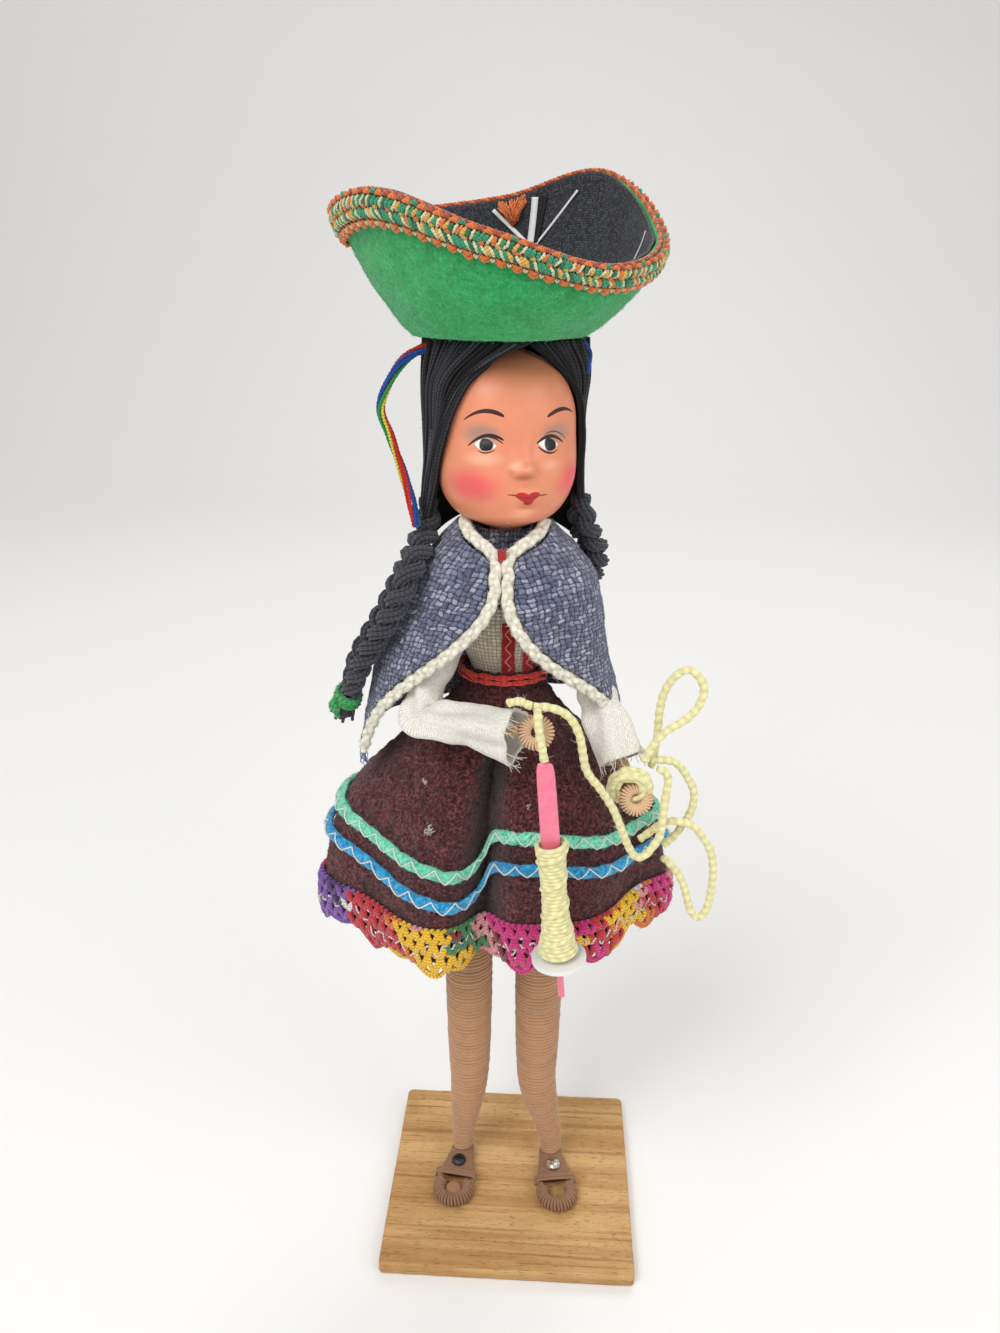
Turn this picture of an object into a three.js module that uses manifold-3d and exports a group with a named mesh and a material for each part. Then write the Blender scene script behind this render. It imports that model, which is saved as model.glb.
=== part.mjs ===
// A spinner folk doll on a wooden board: wire armature, thread-bound limbs, cloth dress and felt hat.
// Millimetres, +Z up. The doll faces -Y, and its own right side is -X.
// The origin is the middle of the board's underside.
import * as THREE from "three";
import { mergeVertices } from "three/addons/utils/BufferGeometryUtils.js";
import Module from "manifold-3d";

const wasm = await Module();
wasm.setup();

// Clearance kept between pieces that touch
const GAP = 0.3;

// Wooden board
const BASE_WIDTH = 78;
const BASE_DEPTH = 70.2;
const BASE_THICKNESS = 4.2;
const BASE_CORNER = 1.8;
const BASE_EDGE = 0.5;

// Thread-bound feet: a heel arc and a toe arc joined by straight sides
const RIGHT_ANKLE_X = -16.5;
const LEFT_ANKLE_X = 13.2;
const ANKLE_Y = 7;
const RIGHT_FOOT_TURN = -7;
const LEFT_FOOT_TURN = 8;
const FOOT_THICKNESS = 4;
const FOOT_EDGE = 1.3;
const HEEL_RADIUS = 4;
const TOE_RADIUS = 6.9;
const ANKLE_TO_TOE = 15.5;
const TOE_HOLE_RADIUS = 2.7;
const TOE_DISC_HEIGHT = 1.8;
const STRAP_RADIUS = 1.2;
const STRAP_FROM_ANKLE = 10.8;

// Slotted wood screws through the feet into the board
const SCREW_FROM_ANKLE = 6.8;
const SCREW_SHANK_RADIUS = 1.1;
const SCREW_HEAD_RADIUS = 2.4;
const SCREW_HEAD_HEIGHT = 1.2;
const SCREW_BITE = 3;
const SCREW_SLOT_WIDTH = 0.6;
const SCREW_SLOT_DEPTH = 0.5;

// Armature wires
const WIRE_RADIUS = 1;
const WIRE_IN_FOOT = 2.4;
const WIRE_IN_TORSO = 12;

// Wound legs, from the ankle up to the hip
const RIGHT_HIP_X = -14;
const LEFT_HIP_X = 7.7;
const HIP_Y = 6;
const LEG_LENGTH = 103;
const ANKLE_RADIUS = 3;
const CALF_RADIUS = 5.6;
const THIGH_RADIUS = 7;
const WRAP_TURNS = 20;
const WRAP_DEPTH = 0.35;

// Stuffed torso and the bound neck
const BODY_X = -3.8;
const BODY_Y = 5;
const HIP_TO_WAIST = 72;
const WAIST_TO_SHOULDER = 26;
const HIP_HALF_WIDTH = 17;
const HIP_HALF_DEPTH = 10;
const WAIST_HALF_WIDTH = 8;
const WAIST_HALF_DEPTH = 6;
const CHEST_HALF_WIDTH = 10.8;
const CHEST_HALF_DEPTH = 7;
const SHOULDER_HALF_WIDTH = 12.5;
const SHOULDER_HALF_DEPTH = 7;
const NECK_RADIUS = 4.2;
const NECK_IN_TORSO = 4;
const NECK_IN_HEAD = 14;

// Head, turned a little towards its left
const HEAD_ABOVE_SHOULDER = 17;
const HEAD_HEIGHT = 41;
const HEAD_HALF_WIDTH = 17.4;
const HEAD_FRONT = 16.8;
const HEAD_BACK = 17.5;
const HEAD_TURN = 12;
const NOSE_HEIGHT = 14;
const NOSE_LENGTH = 2.4;

// Yarn hair: a cap with a face opening, and two plaits
const HAIR_THICKNESS = 2.4;
const HAIRLINE = 37.5;
const FACE_HALF_WIDTH = 15.2;
const PLAIT_WIDTH = 5.2;
const PLAIT_DEPTH = 3.6;
const TIE_THICKNESS = 1;

// Felt hat: a flat bottom and an upturned rim that rises and falls
const HAT_BOTTOM_RADIUS = 20.5;
const HAT_HALF_WIDTH = 38.3;
const HAT_HALF_DEPTH = 34;
const HAT_FROM_BODY = -2.2;
const HAT_FELT = 1.4;
const HAT_LINING = 0.6;
const HAT_TRIM = 1.5;
const HAT_TRIM_HEIGHT = 6.5;
const HAT_RIM_HEIGHTS = [22, 37, 31.5, 28, 26.5, 30, 22, 15.5];

// Blouse, its red bands and the sash
const BLOUSE_CLOTH = 0.7;
const BAND_WIDTH = 3.2;
const BAND_FROM_MIDDLE = 2;
const BAND_SPACING = 5.1;
const BAND_CLOTH = 0.6;
const BAND_LENGTH = 14;
const SASH_HEIGHT = 4.4;
const SASH_THICKNESS = 1.1;

// Wool skirt: a folded bell with two cords and a crochet hem
const SKIRT_LENGTH = 65;
const SKIRT_HALF_WIDTH = 48;
const SKIRT_HALF_DEPTH = 28;
const SKIRT_SHIFT = -2.7;
const SKIRT_CLOTH = 1.6;
const SKIRT_FOLDS = 7;
const SKIRT_FOLD_DEPTH = 1.9;
const FRONT_FOLD_DEPTH = 4.2;
const CORD_RADIUS = 1.5;
const UPPER_CORD_DROP = 43;
const LOWER_CORD_DROP = 52;
const HEM_HEIGHT = 11.5;
const HEM_THICKNESS = 2.2;

// Wool cape, open in front, with a chain-stitch edging
const CAPE_CLOTH = 1.3;
const CAPE_LENGTH = 56;
const CAPE_ABOVE_SHOULDER = 16;
const CAPE_HALF_WIDTH = 36.5;
const CAPE_HALF_DEPTH = 27;
const CAPE_NECK_RADIUS = 12.5;
const CAPE_SLANT = 5;
const CAPE_FOLDS = 6;
const CAPE_FOLD_DEPTH = 0.9;
const EDGING_RADIUS = 1.4;

// Arms, sleeves and hands
const ARM_RADIUS = 1.7;
const ELBOW_RADIUS = 2;
const SLEEVE_RADIUS = 5;
const SLEEVE_CLOTH = 0.9;
const RIGHT_CUFF_RADIUS = 7.4;
const LEFT_CUFF_RADIUS = 6.4;
const HAND_RADIUS = 2.7;
const HAND_THICKNESS = 1.9;

// Spun yarn, drawn from the spindle over the right hand to the left one
const YARN_RADIUS = 1.1;
const WRIST_TURNS = 3;
const WRIST_YARN_RADIUS = 0.9;
const WRIST_YARN_SPACING = 0.5;
const WRIST_COIL_RADIUS = 6;
const RIBBON_RADIUS = 1.3;

// Drop spindle with its cop of yarn; the lengths run from the top of the stick
const SPINDLE_LENGTH = 70;
const SPINDLE_TILT = 5;
const SPINDLE_HALF_WIDTH = 2.7;
const SPINDLE_HALF_THICKNESS = 1.3;
const SPINDLE_SHANK_RADIUS = 0.9;
const WHORL_RADIUS = 7.2;
const WHORL_THICKNESS = 1.2;
const WHORL_FROM_TIP = 13;
const COP_LENGTH = 32;
const COP_TURNS = 15;
const COP_YARN_RADIUS = 0.75;
const COP_TOP_RADIUS = 4.2;
const COP_WAIST_RADIUS = 3.4;
const COP_BELLY_RADIUS = 5.3;

// Levels that follow from the sizes above
const footBottom = BASE_THICKNESS + GAP;
const footTop = footBottom + FOOT_THICKNESS;
const legBottom = footTop + GAP;
const hipZ = legBottom + LEG_LENGTH;
const waistZ = hipZ + HIP_TO_WAIST;
const shoulderZ = waistZ + WAIST_TO_SHOULDER;
const chinZ = shoulderZ + HEAD_ABOVE_SHOULDER;
const hatZ = chinZ + HEAD_HEIGHT + HAIR_THICKNESS + 2 * GAP;

const TURN = 2 * Math.PI;
const radians = THREE.MathUtils.degToRad;
const lerp = THREE.MathUtils.lerp;
const smooth = THREE.MathUtils.smoothstep;
const vector = (x, y, z) => new THREE.Vector3(x, y, z);
const range = (count) => Array.from({ length: count }, (_, index) => index);

// A smooth value between stations, given as [place, value] pairs.
function along(stations, place) {
  const last = stations.length - 1;
  if (place <= stations[0][0]) return stations[0][1];
  if (place >= stations[last][0]) return stations[last][1];
  const next = stations.findIndex((station) => station[0] > place);
  const [from, start] = stations[next - 1];
  const [to, end] = stations[next];
  const before = stations[Math.max(next - 2, 0)];
  const after = stations[Math.min(next + 1, last)];
  const slopeIn = ((end - before[1]) / (to - before[0])) * (to - from);
  const slopeOut = ((after[1] - start) / (after[0] - from)) * (to - from);
  const t = (place - from) / (to - from);
  const hermite = (2 * t ** 3 - 3 * t ** 2 + 1) * start + (t ** 3 - 2 * t ** 2 + t) * slopeIn;
  return hermite + (3 * t ** 2 - 2 * t ** 3) * end + (t ** 3 - t ** 2) * slopeOut;
}

// Joins rings of equal length into one closed surface; "ring" closes it on itself, else it is capped.
function skin(rings, end = "caps") {
  const sides = rings[0].length;
  const positions = rings.flat().flatMap((p) => [p.x, p.y, p.z]);
  const faces = [];
  const bands = end === "ring" ? rings.length : rings.length - 1;
  for (let row = 0; row < bands; row++) {
    const below = row * sides;
    const above = ((row + 1) % rings.length) * sides;
    for (let i = 0; i < sides; i++) {
      const j = (i + 1) % sides;
      faces.push(below + i, below + j, above + j, below + i, above + j, above + i);
    }
  }
  if (end === "caps") {
    for (const [row, first] of [[0, true], [rings.length - 1, false]]) {
      const centre = new THREE.Vector3();
      rings[row].forEach((p) => centre.addScaledVector(p, 1 / sides));
      const hub = positions.length / 3;
      positions.push(centre.x, centre.y, centre.z);
      for (let i = 0; i < sides; i++) {
        const j = (i + 1) % sides;
        const [a, b] = first ? [j, i] : [i, j];
        faces.push(row * sides + a, row * sides + b, hub);
      }
    }
  }
  const geometry = new THREE.BufferGeometry();
  geometry.setAttribute("position", new THREE.Float32BufferAttribute(positions, 3));
  geometry.setIndex(faces);
  return facingOut(geometry);
}

// Turns the faces round where the enclosed volume comes out negative.
function facingOut(geometry) {
  const p = geometry.getAttribute("position");
  const index = geometry.getIndex().array;
  const [a, b, c] = [vector(), vector(), vector()];
  let volume = 0;
  for (let i = 0; i < index.length; i += 3) {
    a.fromBufferAttribute(p, index[i]);
    b.fromBufferAttribute(p, index[i + 1]);
    c.fromBufferAttribute(p, index[i + 2]);
    volume += a.dot(b.cross(c));
  }
  if (volume < 0) {
    for (let i = 0; i < index.length; i += 3) {
      [index[i + 1], index[i + 2]] = [index[i + 2], index[i + 1]];
    }
  }
  return geometry;
}

// A manifold solid of a closed geometry, and the geometry of a solid.
function solid(geometry) {
  const bare = geometry.index ? geometry.toNonIndexed() : geometry.clone();
  bare.deleteAttribute("normal");
  bare.deleteAttribute("uv");
  const merged = mergeVertices(bare, 1e-4);
  return new wasm.Manifold(
    new wasm.Mesh({
      numProp: 3,
      vertProperties: merged.attributes.position.array,
      triVerts: new Uint32Array(merged.index.array),
    }),
  );
}

function geometryOf(body) {
  const mesh = body.getMesh();
  const geometry = new THREE.BufferGeometry();
  geometry.setAttribute("position", new THREE.BufferAttribute(mesh.vertProperties, 3));
  geometry.setIndex(new THREE.BufferAttribute(mesh.triVerts, 1));
  return geometry;
}

// Cuts a geometry by others, and keeps its main body where the cut leaves crumbs.
function cut(geometry, ...cutters) {
  let body = solid(geometry);
  for (const cutter of cutters) body = body.subtract(solid(cutter));
  const bodies = body.decompose().sort((p, q) => q.volume() - p.volume());
  return geometryOf(bodies[0]);
}

function join(geometry, ...others) {
  let body = solid(geometry);
  for (const other of others) body = body.add(solid(other));
  return geometryOf(body);
}

// A round or oval bar along a smooth line; radius gives [across, up] at each share of its length.
function bar(points, radius, sides, steps, up = vector(0, 0, 1)) {
  const curve = new THREE.CatmullRomCurve3(points, false, "centripetal");
  const rings = range(steps + 1).map((step) => {
    const share = step / steps;
    const centre = curve.getPointAt(share);
    const tangent = curve.getTangentAt(share);
    const across = new THREE.Vector3().crossVectors(up, tangent).normalize();
    const over = new THREE.Vector3().crossVectors(tangent, across);
    const [wide, high] = radius(share);
    return range(sides).map((side) => {
      const angle = (side / sides) * TURN;
      return centre
        .clone()
        .addScaledVector(across, wide * Math.cos(angle))
        .addScaledVector(over, high * Math.sin(angle));
    });
  });
  return skin(rings);
}

// A cord: a round section of eight sides, or the number given, run along a smooth line.
function cord(points, radius, steps, sides = 8) {
  const section = new THREE.Shape();
  section.absarc(0, 0, radius, 0, TURN);
  const path = new THREE.CatmullRomCurve3(points, false, "centripetal");
  return new THREE.ExtrudeGeometry(section, { steps, curveSegments: sides / 2, extrudePath: path });
}

// A round pin from one level up to another.
function pin(x, y, low, high, radius, sides = 20) {
  const geometry = new THREE.CylinderGeometry(radius, radius, high - low, sides);
  return geometry.rotateX(Math.PI / 2).translate(x, y, (low + high) / 2);
}

// A tube through the given points, closed on itself or open, for lines that never run straight up.
function strand(points, radius, sides, closed = false) {
  const last = points.length - 1;
  const at = (i) => points[closed ? (i + points.length) % points.length : Math.min(Math.max(i, 0), last)];
  const rings = points.map((centre, i) => {
    const tangent = at(i + 1).clone().sub(at(i - 1)).normalize();
    const across = new THREE.Vector3().crossVectors(tangent, vector(0, 0, 1)).normalize();
    const over = new THREE.Vector3().crossVectors(across, tangent);
    return range(sides).map((side) => {
      const angle = (side / sides) * TURN;
      return centre
        .clone()
        .addScaledVector(across, radius * Math.cos(angle))
        .addScaledVector(over, radius * Math.sin(angle));
    });
  });
  return skin(rings, closed ? "ring" : "caps");
}

// Points of a coil that climbs +Z, where reach gives its radius at each share of the climb.
function coilPoints(turns, climb, reach, perTurn) {
  return range(turns * perTurn + 1).map((step) => {
    const share = step / (turns * perTurn);
    const angle = (step / perTurn) * TURN;
    return vector(reach(share) * Math.cos(angle), reach(share) * Math.sin(angle), share * climb);
  });
}

// The least clear distance between neighbouring loops of a coil, measured point by point.
function leastGap(points, radius, perTurn) {
  let least = Infinity;
  points.forEach((point, i) => {
    points.slice(i + Math.round(perTurn / 2)).forEach((other) => {
      least = Math.min(least, point.distanceTo(other) - 2 * radius);
    });
  });
  return least.toFixed(2);
}

// Turns a shape drawn along +Z to run another way, and moves its foot to a point.
function onAxis(geometry, foot, way) {
  const turn = new THREE.Quaternion().setFromUnitVectors(vector(0, 0, 1), way.clone().normalize());
  return geometry.applyQuaternion(turn).translate(foot.x, foot.y, foot.z);
}

const doll = new THREE.Group();
doll.name = "spinner_doll";

function add(name, geometry, color, roughness = 0.9, metalness = 0) {
  const material = new THREE.MeshStandardMaterial({ color, roughness, metalness });
  const mesh = new THREE.Mesh(geometry, material);
  mesh.name = name;
  doll.add(mesh);
  return mesh;
}

// The two legs and feet, named for the doll's own sides
const LEGS = [
  { side: "right", ankle: RIGHT_ANKLE_X, hip: RIGHT_HIP_X, turn: RIGHT_FOOT_TURN },
  { side: "left", ankle: LEFT_ANKLE_X, hip: LEFT_HIP_X, turn: LEFT_FOOT_TURN },
];

// Places a shape drawn about the ankle, toes towards -Y, on the turned foot.
function onFoot(leg, geometry) {
  return geometry.rotateZ(radians(leg.turn)).translate(leg.ankle, ANKLE_Y, 0);
}

function footPlace(leg, distance) {
  const turn = radians(leg.turn);
  return [leg.ankle + distance * Math.sin(turn), ANKLE_Y - distance * Math.cos(turn)];
}

function footGeometry(leg) {
  const lean = Math.asin((TOE_RADIUS - HEEL_RADIUS) / ANKLE_TO_TOE);
  const outline = new THREE.Shape();
  outline.absarc(0, 0, HEEL_RADIUS, lean, Math.PI - lean);
  outline.absarc(0, -ANKLE_TO_TOE, TOE_RADIUS, Math.PI - lean, TURN + lean);
  outline.closePath();
  const toeHole = new THREE.Path();
  toeHole.absarc(0, -ANKLE_TO_TOE, TOE_HOLE_RADIUS, 0, TURN, true);
  outline.holes.push(toeHole);
  const sole = new THREE.ExtrudeGeometry(outline, {
    depth: FOOT_THICKNESS - 2 * FOOT_EDGE,
    bevelThickness: FOOT_EDGE,
    bevelSize: FOOT_EDGE,
    bevelOffset: -FOOT_EDGE,
    bevelSegments: 1,
    curveSegments: 5,
  }).translate(0, 0, footBottom + FOOT_EDGE);
  const strapHalf = lerp(HEEL_RADIUS, TOE_RADIUS, STRAP_FROM_ANKLE / ANKLE_TO_TOE) - FOOT_EDGE;
  const strap = new THREE.CapsuleGeometry(STRAP_RADIUS, 2 * strapHalf - 2 * STRAP_RADIUS, 3, 8)
    .rotateZ(Math.PI / 2)
    .translate(0, -STRAP_FROM_ANKLE, footTop - STRAP_RADIUS / 2);
  const screwHole = pin(0, -SCREW_FROM_ANKLE, 0, footTop + 1, SCREW_SHANK_RADIUS + GAP, 14);
  const wireHole = pin(0, 0, footTop - WIRE_IN_FOOT - GAP, footTop + 1, WIRE_RADIUS + GAP, 12);
  return onFoot(leg, cut(join(sole, strap), screwHole, wireHole));
}

// A domed, slotted head on a plain shank with a pointed end.
function screwGeometry(leg) {
  const underHead = footTop + GAP;
  const tip = BASE_THICKNESS - SCREW_BITE;
  const headRise = SCREW_HEAD_HEIGHT;
  const profile = [
    new THREE.Vector2(0, tip),
    new THREE.Vector2(SCREW_SHANK_RADIUS, tip + SCREW_SHANK_RADIUS),
    new THREE.Vector2(SCREW_SHANK_RADIUS, underHead),
    new THREE.Vector2(SCREW_HEAD_RADIUS, underHead),
    new THREE.Vector2(SCREW_HEAD_RADIUS * 0.9, underHead + headRise * 0.5),
    new THREE.Vector2(SCREW_HEAD_RADIUS * 0.55, underHead + headRise * 0.9),
    new THREE.Vector2(0, underHead + headRise),
  ];
  const body = new THREE.LatheGeometry(profile, 12).rotateX(Math.PI / 2);
  const slot = new THREE.BoxGeometry(
    3 * SCREW_HEAD_RADIUS,
    SCREW_SLOT_WIDTH,
    2 * SCREW_SLOT_DEPTH,
  ).translate(0, 0, underHead + headRise);
  const [x, y] = footPlace(leg, SCREW_FROM_ANKLE);
  return cut(body, slot).translate(x, y, 0);
}

function legCentre(leg, z) {
  const share = smooth(z, legBottom, legBottom + LEG_LENGTH * 0.35);
  return [lerp(leg.ankle, leg.hip, share), lerp(ANKLE_Y, HIP_Y, share)];
}

// Yarn wound round the padded wire: a helical ridge that runs unbroken from ankle to hip.
function legGeometry(leg) {
  const rows = WRAP_TURNS * 3;
  const sides = 6;
  const shape = [
    [0, ANKLE_RADIUS],
    [0.06, ANKLE_RADIUS + 0.3],
    [0.27, CALF_RADIUS],
    [0.55, THIGH_RADIUS - 0.2],
    [0.8, THIGH_RADIUS],
    [1, THIGH_RADIUS],
  ];
  const rings = range(rows + 1).map((row) => {
    const share = row / rows;
    const z = legBottom + share * LEG_LENGTH;
    const [x, y] = legCentre(leg, z);
    const radius = along(shape, share);
    return range(sides).map((side) => {
      const angle = (side / sides) * TURN;
      const ridge = WRAP_DEPTH * Math.cos(share * WRAP_TURNS * TURN - angle);
      const reach = radius + ridge;
      return vector(x + reach * Math.cos(angle), y + reach * Math.sin(angle), z);
    });
  });
  return cut(skin(rings), legWire(leg, GAP, 1));
}

// The armature wire of a leg, from the foot up into the torso, grown by a clearance where it is a cutter.
function legWire(leg, grow = 0, beyond = 0) {
  const low = footTop - WIRE_IN_FOOT - beyond;
  const high = hipZ + GAP + WIRE_IN_TORSO + beyond;
  const rows = 10;
  const rings = range(rows + 1).map((row) => {
    const z = lerp(low, high, row / rows);
    const [x, y] = legCentre(leg, z);
    const radius = WIRE_RADIUS + grow;
    return range(6).map((side) => {
      const angle = (side / 6) * TURN;
      return vector(x + radius * Math.cos(angle), y + radius * Math.sin(angle), z);
    });
  });
  return skin(rings);
}

// Half width and half depth of the torso at a level.
function torsoHalf(z) {
  const share = (z - hipZ) / (shoulderZ - hipZ);
  const waist = HIP_TO_WAIST / (HIP_TO_WAIST + WAIST_TO_SHOULDER);
  const width = [
    [0, HIP_HALF_WIDTH],
    [0.25, HIP_HALF_WIDTH * 0.94],
    [waist, WAIST_HALF_WIDTH],
    [waist + 0.09, CHEST_HALF_WIDTH],
    [0.93, SHOULDER_HALF_WIDTH],
    [1, NECK_RADIUS + 2],
  ];
  const depth = [
    [0, HIP_HALF_DEPTH],
    [0.25, HIP_HALF_DEPTH],
    [waist, WAIST_HALF_DEPTH],
    [waist + 0.09, CHEST_HALF_DEPTH],
    [0.93, SHOULDER_HALF_DEPTH],
    [1, NECK_RADIUS + 1.2],
  ];
  return [along(width, share), along(depth, share)];
}

// An oval ring round the body axis.
function bodyRing(z, halfWidth, halfDepth, sides) {
  return range(sides).map((side) => {
    const angle = (side / sides) * TURN;
    return vector(BODY_X + halfWidth * Math.cos(angle), BODY_Y + halfDepth * Math.sin(angle), z);
  });
}

// A sleeve of cloth between two offsets from the torso, or the filled torso where inner is left out.
function torsoShell(low, high, outer, inner, sides = 12, rows = 7) {
  const ringAt = (z, offset) => {
    const [wide, deep] = torsoHalf(z);
    return bodyRing(z, wide + offset, deep + offset, sides);
  };
  const outside = range(rows + 1).map((row) => ringAt(lerp(low, high, row / rows), outer));
  if (inner === undefined) return skin(outside);
  const inside = range(rows + 1).map((row) => ringAt(lerp(high, low, row / rows), inner));
  return skin([...outside, ...inside], "ring");
}

// The coil of yarn on the left wrist starts behind the hand's eye and runs back towards the elbow.
const HAND_REACH = HAND_RADIUS + HAND_THICKNESS;
const wristClimb = WRIST_TURNS * (2 * WRIST_YARN_RADIUS + WRIST_YARN_SPACING);
const wristLength = wristClimb + 2 * WRIST_YARN_RADIUS;
const leftHand = vector(31.7, -18.6, waistZ - 25.4);
const leftElbow = vector(20.5, -2.5, waistZ - 1);
const wristWay = leftElbow.clone().sub(leftHand).normalize();
const wristFoot = leftHand.clone().addScaledVector(wristWay, HAND_REACH + GAP);

// The two arms: shoulder, elbow, the middle of the open cuff, the middle of the hand's eye and its facing
const ARMS = {
  right: {
    shoulder: vector(BODY_X - 11, BODY_Y - 2, waistZ + 19),
    upper: vector(-19, -3, waistZ + 9),
    elbow: vector(-24, -14.5, waistZ - 5.5),
    cuff: vector(0.4, -24.4, waistZ - 5.2),
    hand: vector(5.6, -26.3, waistZ - 3.5),
    facing: vector(0.1, 0.85, -0.5),
    cuffRadius: RIGHT_CUFF_RADIUS,
  },
  left: {
    shoulder: vector(BODY_X + 11, BODY_Y - 2, waistZ + 19),
    upper: vector(14, 0.5, waistZ + 10),
    elbow: leftElbow,
    cuff: wristFoot.clone().addScaledVector(wristWay, wristLength + 3 * GAP),
    hand: leftHand,
    facing: vector(-0.1, 1, -0.3),
    cuffRadius: LEFT_CUFF_RADIUS,
  },
};

// The upper wire runs through the shoulders from elbow to elbow, bound with thread.
function armWire(grow = 0) {
  const { right, left } = ARMS;
  const line = [right.elbow, right.upper, right.shoulder, left.shoulder, left.upper, left.elbow];
  const thread = bar(line, () => [WIRE_RADIUS + grow, WIRE_RADIUS + grow], 6, 11, vector(0, 1, 0.3));
  const knuckle = (elbow) => {
    const ball = new THREE.SphereGeometry(ELBOW_RADIUS + grow, 8, 5);
    return ball.translate(elbow.x, elbow.y, elbow.z);
  };
  return join(thread, knuckle(right.elbow), knuckle(left.elbow));
}

// A bound forearm that meets the elbow's knuckle and ends behind the hand's loop.
function forearmGeometry(arm) {
  const reach = arm.hand.clone().sub(arm.elbow).normalize();
  const end = arm.hand.clone().addScaledVector(reach, -(HAND_REACH + GAP));
  const limb = bar([arm.elbow, arm.elbow.clone().lerp(end, 0.5), end], () => [ARM_RADIUS, ARM_RADIUS], 8, 4);
  const seat = new THREE.SphereGeometry(ELBOW_RADIUS + GAP + 0.1, 10, 8);
  return cut(limb, seat.translate(arm.elbow.x, arm.elbow.y, arm.elbow.z));
}

// The hand is the wire's end bent into an eye and bound with thread.
function handGeometry(arm) {
  const ring = new THREE.TorusGeometry(HAND_RADIUS, HAND_THICKNESS, 8, 14);
  return onAxis(ring, arm.hand, arm.facing);
}

// A cloth tube from the shoulder past the elbow to an open cuff.
function sleeveGeometry(arm, grow, hollow) {
  const { shoulder, upper, elbow, cuff } = arm;
  const line = [shoulder, upper, elbow, elbow.clone().lerp(cuff, 0.55), cuff];
  const width = [
    [0, SLEEVE_RADIUS],
    [0.5, SLEEVE_RADIUS],
    [0.75, SLEEVE_RADIUS + 0.6],
    [1, arm.cuffRadius],
  ];
  const sides = 8;
  const steps = 8;
  const outer = bar(line, (share) => {
    const radius = along(width, share) + grow;
    return [radius, radius];
  }, sides, steps);
  if (!hollow) return outer;
  const past = cuff.clone().sub(elbow).setLength(2);
  const before = shoulder.clone().sub(upper).setLength(2);
  const bore = [shoulder.clone().add(before), ...line.slice(1, 4), cuff.clone().add(past)];
  const inner = bar(bore, (share) => {
    const radius = along(width, share) - SLEEVE_CLOTH;
    return [radius, radius];
  }, sides, steps);
  return cut(outer, inner);
}

// The skirt's outside at an angle (from +X towards +Y) and a drop below the waist.
const FRONT_FOLD_ANGLE = 268;
const BAND_DROP = SASH_HEIGHT / 2 + GAP;
function skirtPoint(angle, drop, offset) {
  const fall = SKIRT_LENGTH + HEM_HEIGHT + GAP - BAND_DROP;
  const share = Math.max(drop - BAND_DROP, 0) / fall;
  const [waistWide, waistDeep] = torsoHalf(waistZ);
  const layers = 2 * GAP + BLOUSE_CLOTH + SKIRT_CLOTH;
  const bell = [
    [0, 0],
    [0.08, 0.12],
    [0.2, 0.36],
    [0.33, 0.63],
    [0.48, 0.87],
    [0.66, 0.98],
    [0.86, 1.02],
    [1, 1],
  ];
  const spread = along(bell, share);
  const wide = lerp(waistWide + layers, SKIRT_HALF_WIDTH, spread);
  const deep = lerp(waistDeep + layers, SKIRT_HALF_DEPTH, spread);
  const loose = smooth(share, 0.1, 0.9);
  const folds = SKIRT_FOLD_DEPTH * Math.cos(SKIRT_FOLDS * angle + 0.6);
  const away = Math.atan2(
    Math.sin(angle - radians(FRONT_FOLD_ANGLE)),
    Math.cos(angle - radians(FRONT_FOLD_ANGLE)),
  );
  const front = FRONT_FOLD_DEPTH * Math.exp(-((away / 0.13) ** 2));
  const push = offset + loose * (folds - front);
  return vector(
    BODY_X + SKIRT_SHIFT * spread + (wide + push) * Math.cos(angle),
    BODY_Y + (deep + push) * Math.sin(angle),
    waistZ - drop,
  );
}

function skirtRing(drop, offset, sides) {
  return range(sides).map((side) => skirtPoint((side / sides) * TURN, drop, offset));
}

// A stretch of the skirt as a closed shell between two offsets from its outside.
const SKIRT_SIDES = 6 * SKIRT_FOLDS;
function skirtShell(drops, outer, inner, sides = SKIRT_SIDES) {
  const outside = drops.map((drop) => skirtRing(drop, outer, sides));
  const inside = drops.toReversed().map((drop) => skirtRing(drop, inner, sides));
  return skin([...outside, ...inside], "ring");
}

// The cape's outside at an angle from the front (towards the doll's left) and a share of its fall.
const CAPE_TOP = shoulderZ + CAPE_ABOVE_SHOULDER;
function capeOpening(share) {
  const halfAngles = [
    [0, 72],
    [0.1, 15],
    [0.18, 9.5],
    [0.27, 8.6],
    [0.38, 14],
    [0.51, 26.5],
    [0.71, 52],
    [0.83, 63],
    [1, 72],
  ];
  return radians(along(halfAngles, share));
}

function capePoint(turn, share, offset) {
  const spread = along(
    [
      [0, 0],
      [0.2, 0.42],
      [0.45, 0.66],
      [0.75, 0.86],
      [1, 1],
    ],
    share,
  );
  const hem = CAPE_LENGTH - CAPE_SLANT * Math.sin(turn) * share;
  const folds = share * CAPE_FOLD_DEPTH * Math.cos(CAPE_FOLDS * turn);
  const wide = lerp(CAPE_NECK_RADIUS, CAPE_HALF_WIDTH, spread) + offset + folds;
  const deep = lerp(CAPE_NECK_RADIUS - 1, CAPE_HALF_DEPTH, spread) + offset + folds;
  const shift = -3.5 * smooth(share, 0.2, 0.7);
  return vector(
    BODY_X + shift + wide * Math.sin(turn),
    BODY_Y - 1.5 - deep * Math.cos(turn),
    CAPE_TOP - share * hem,
  );
}

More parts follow.
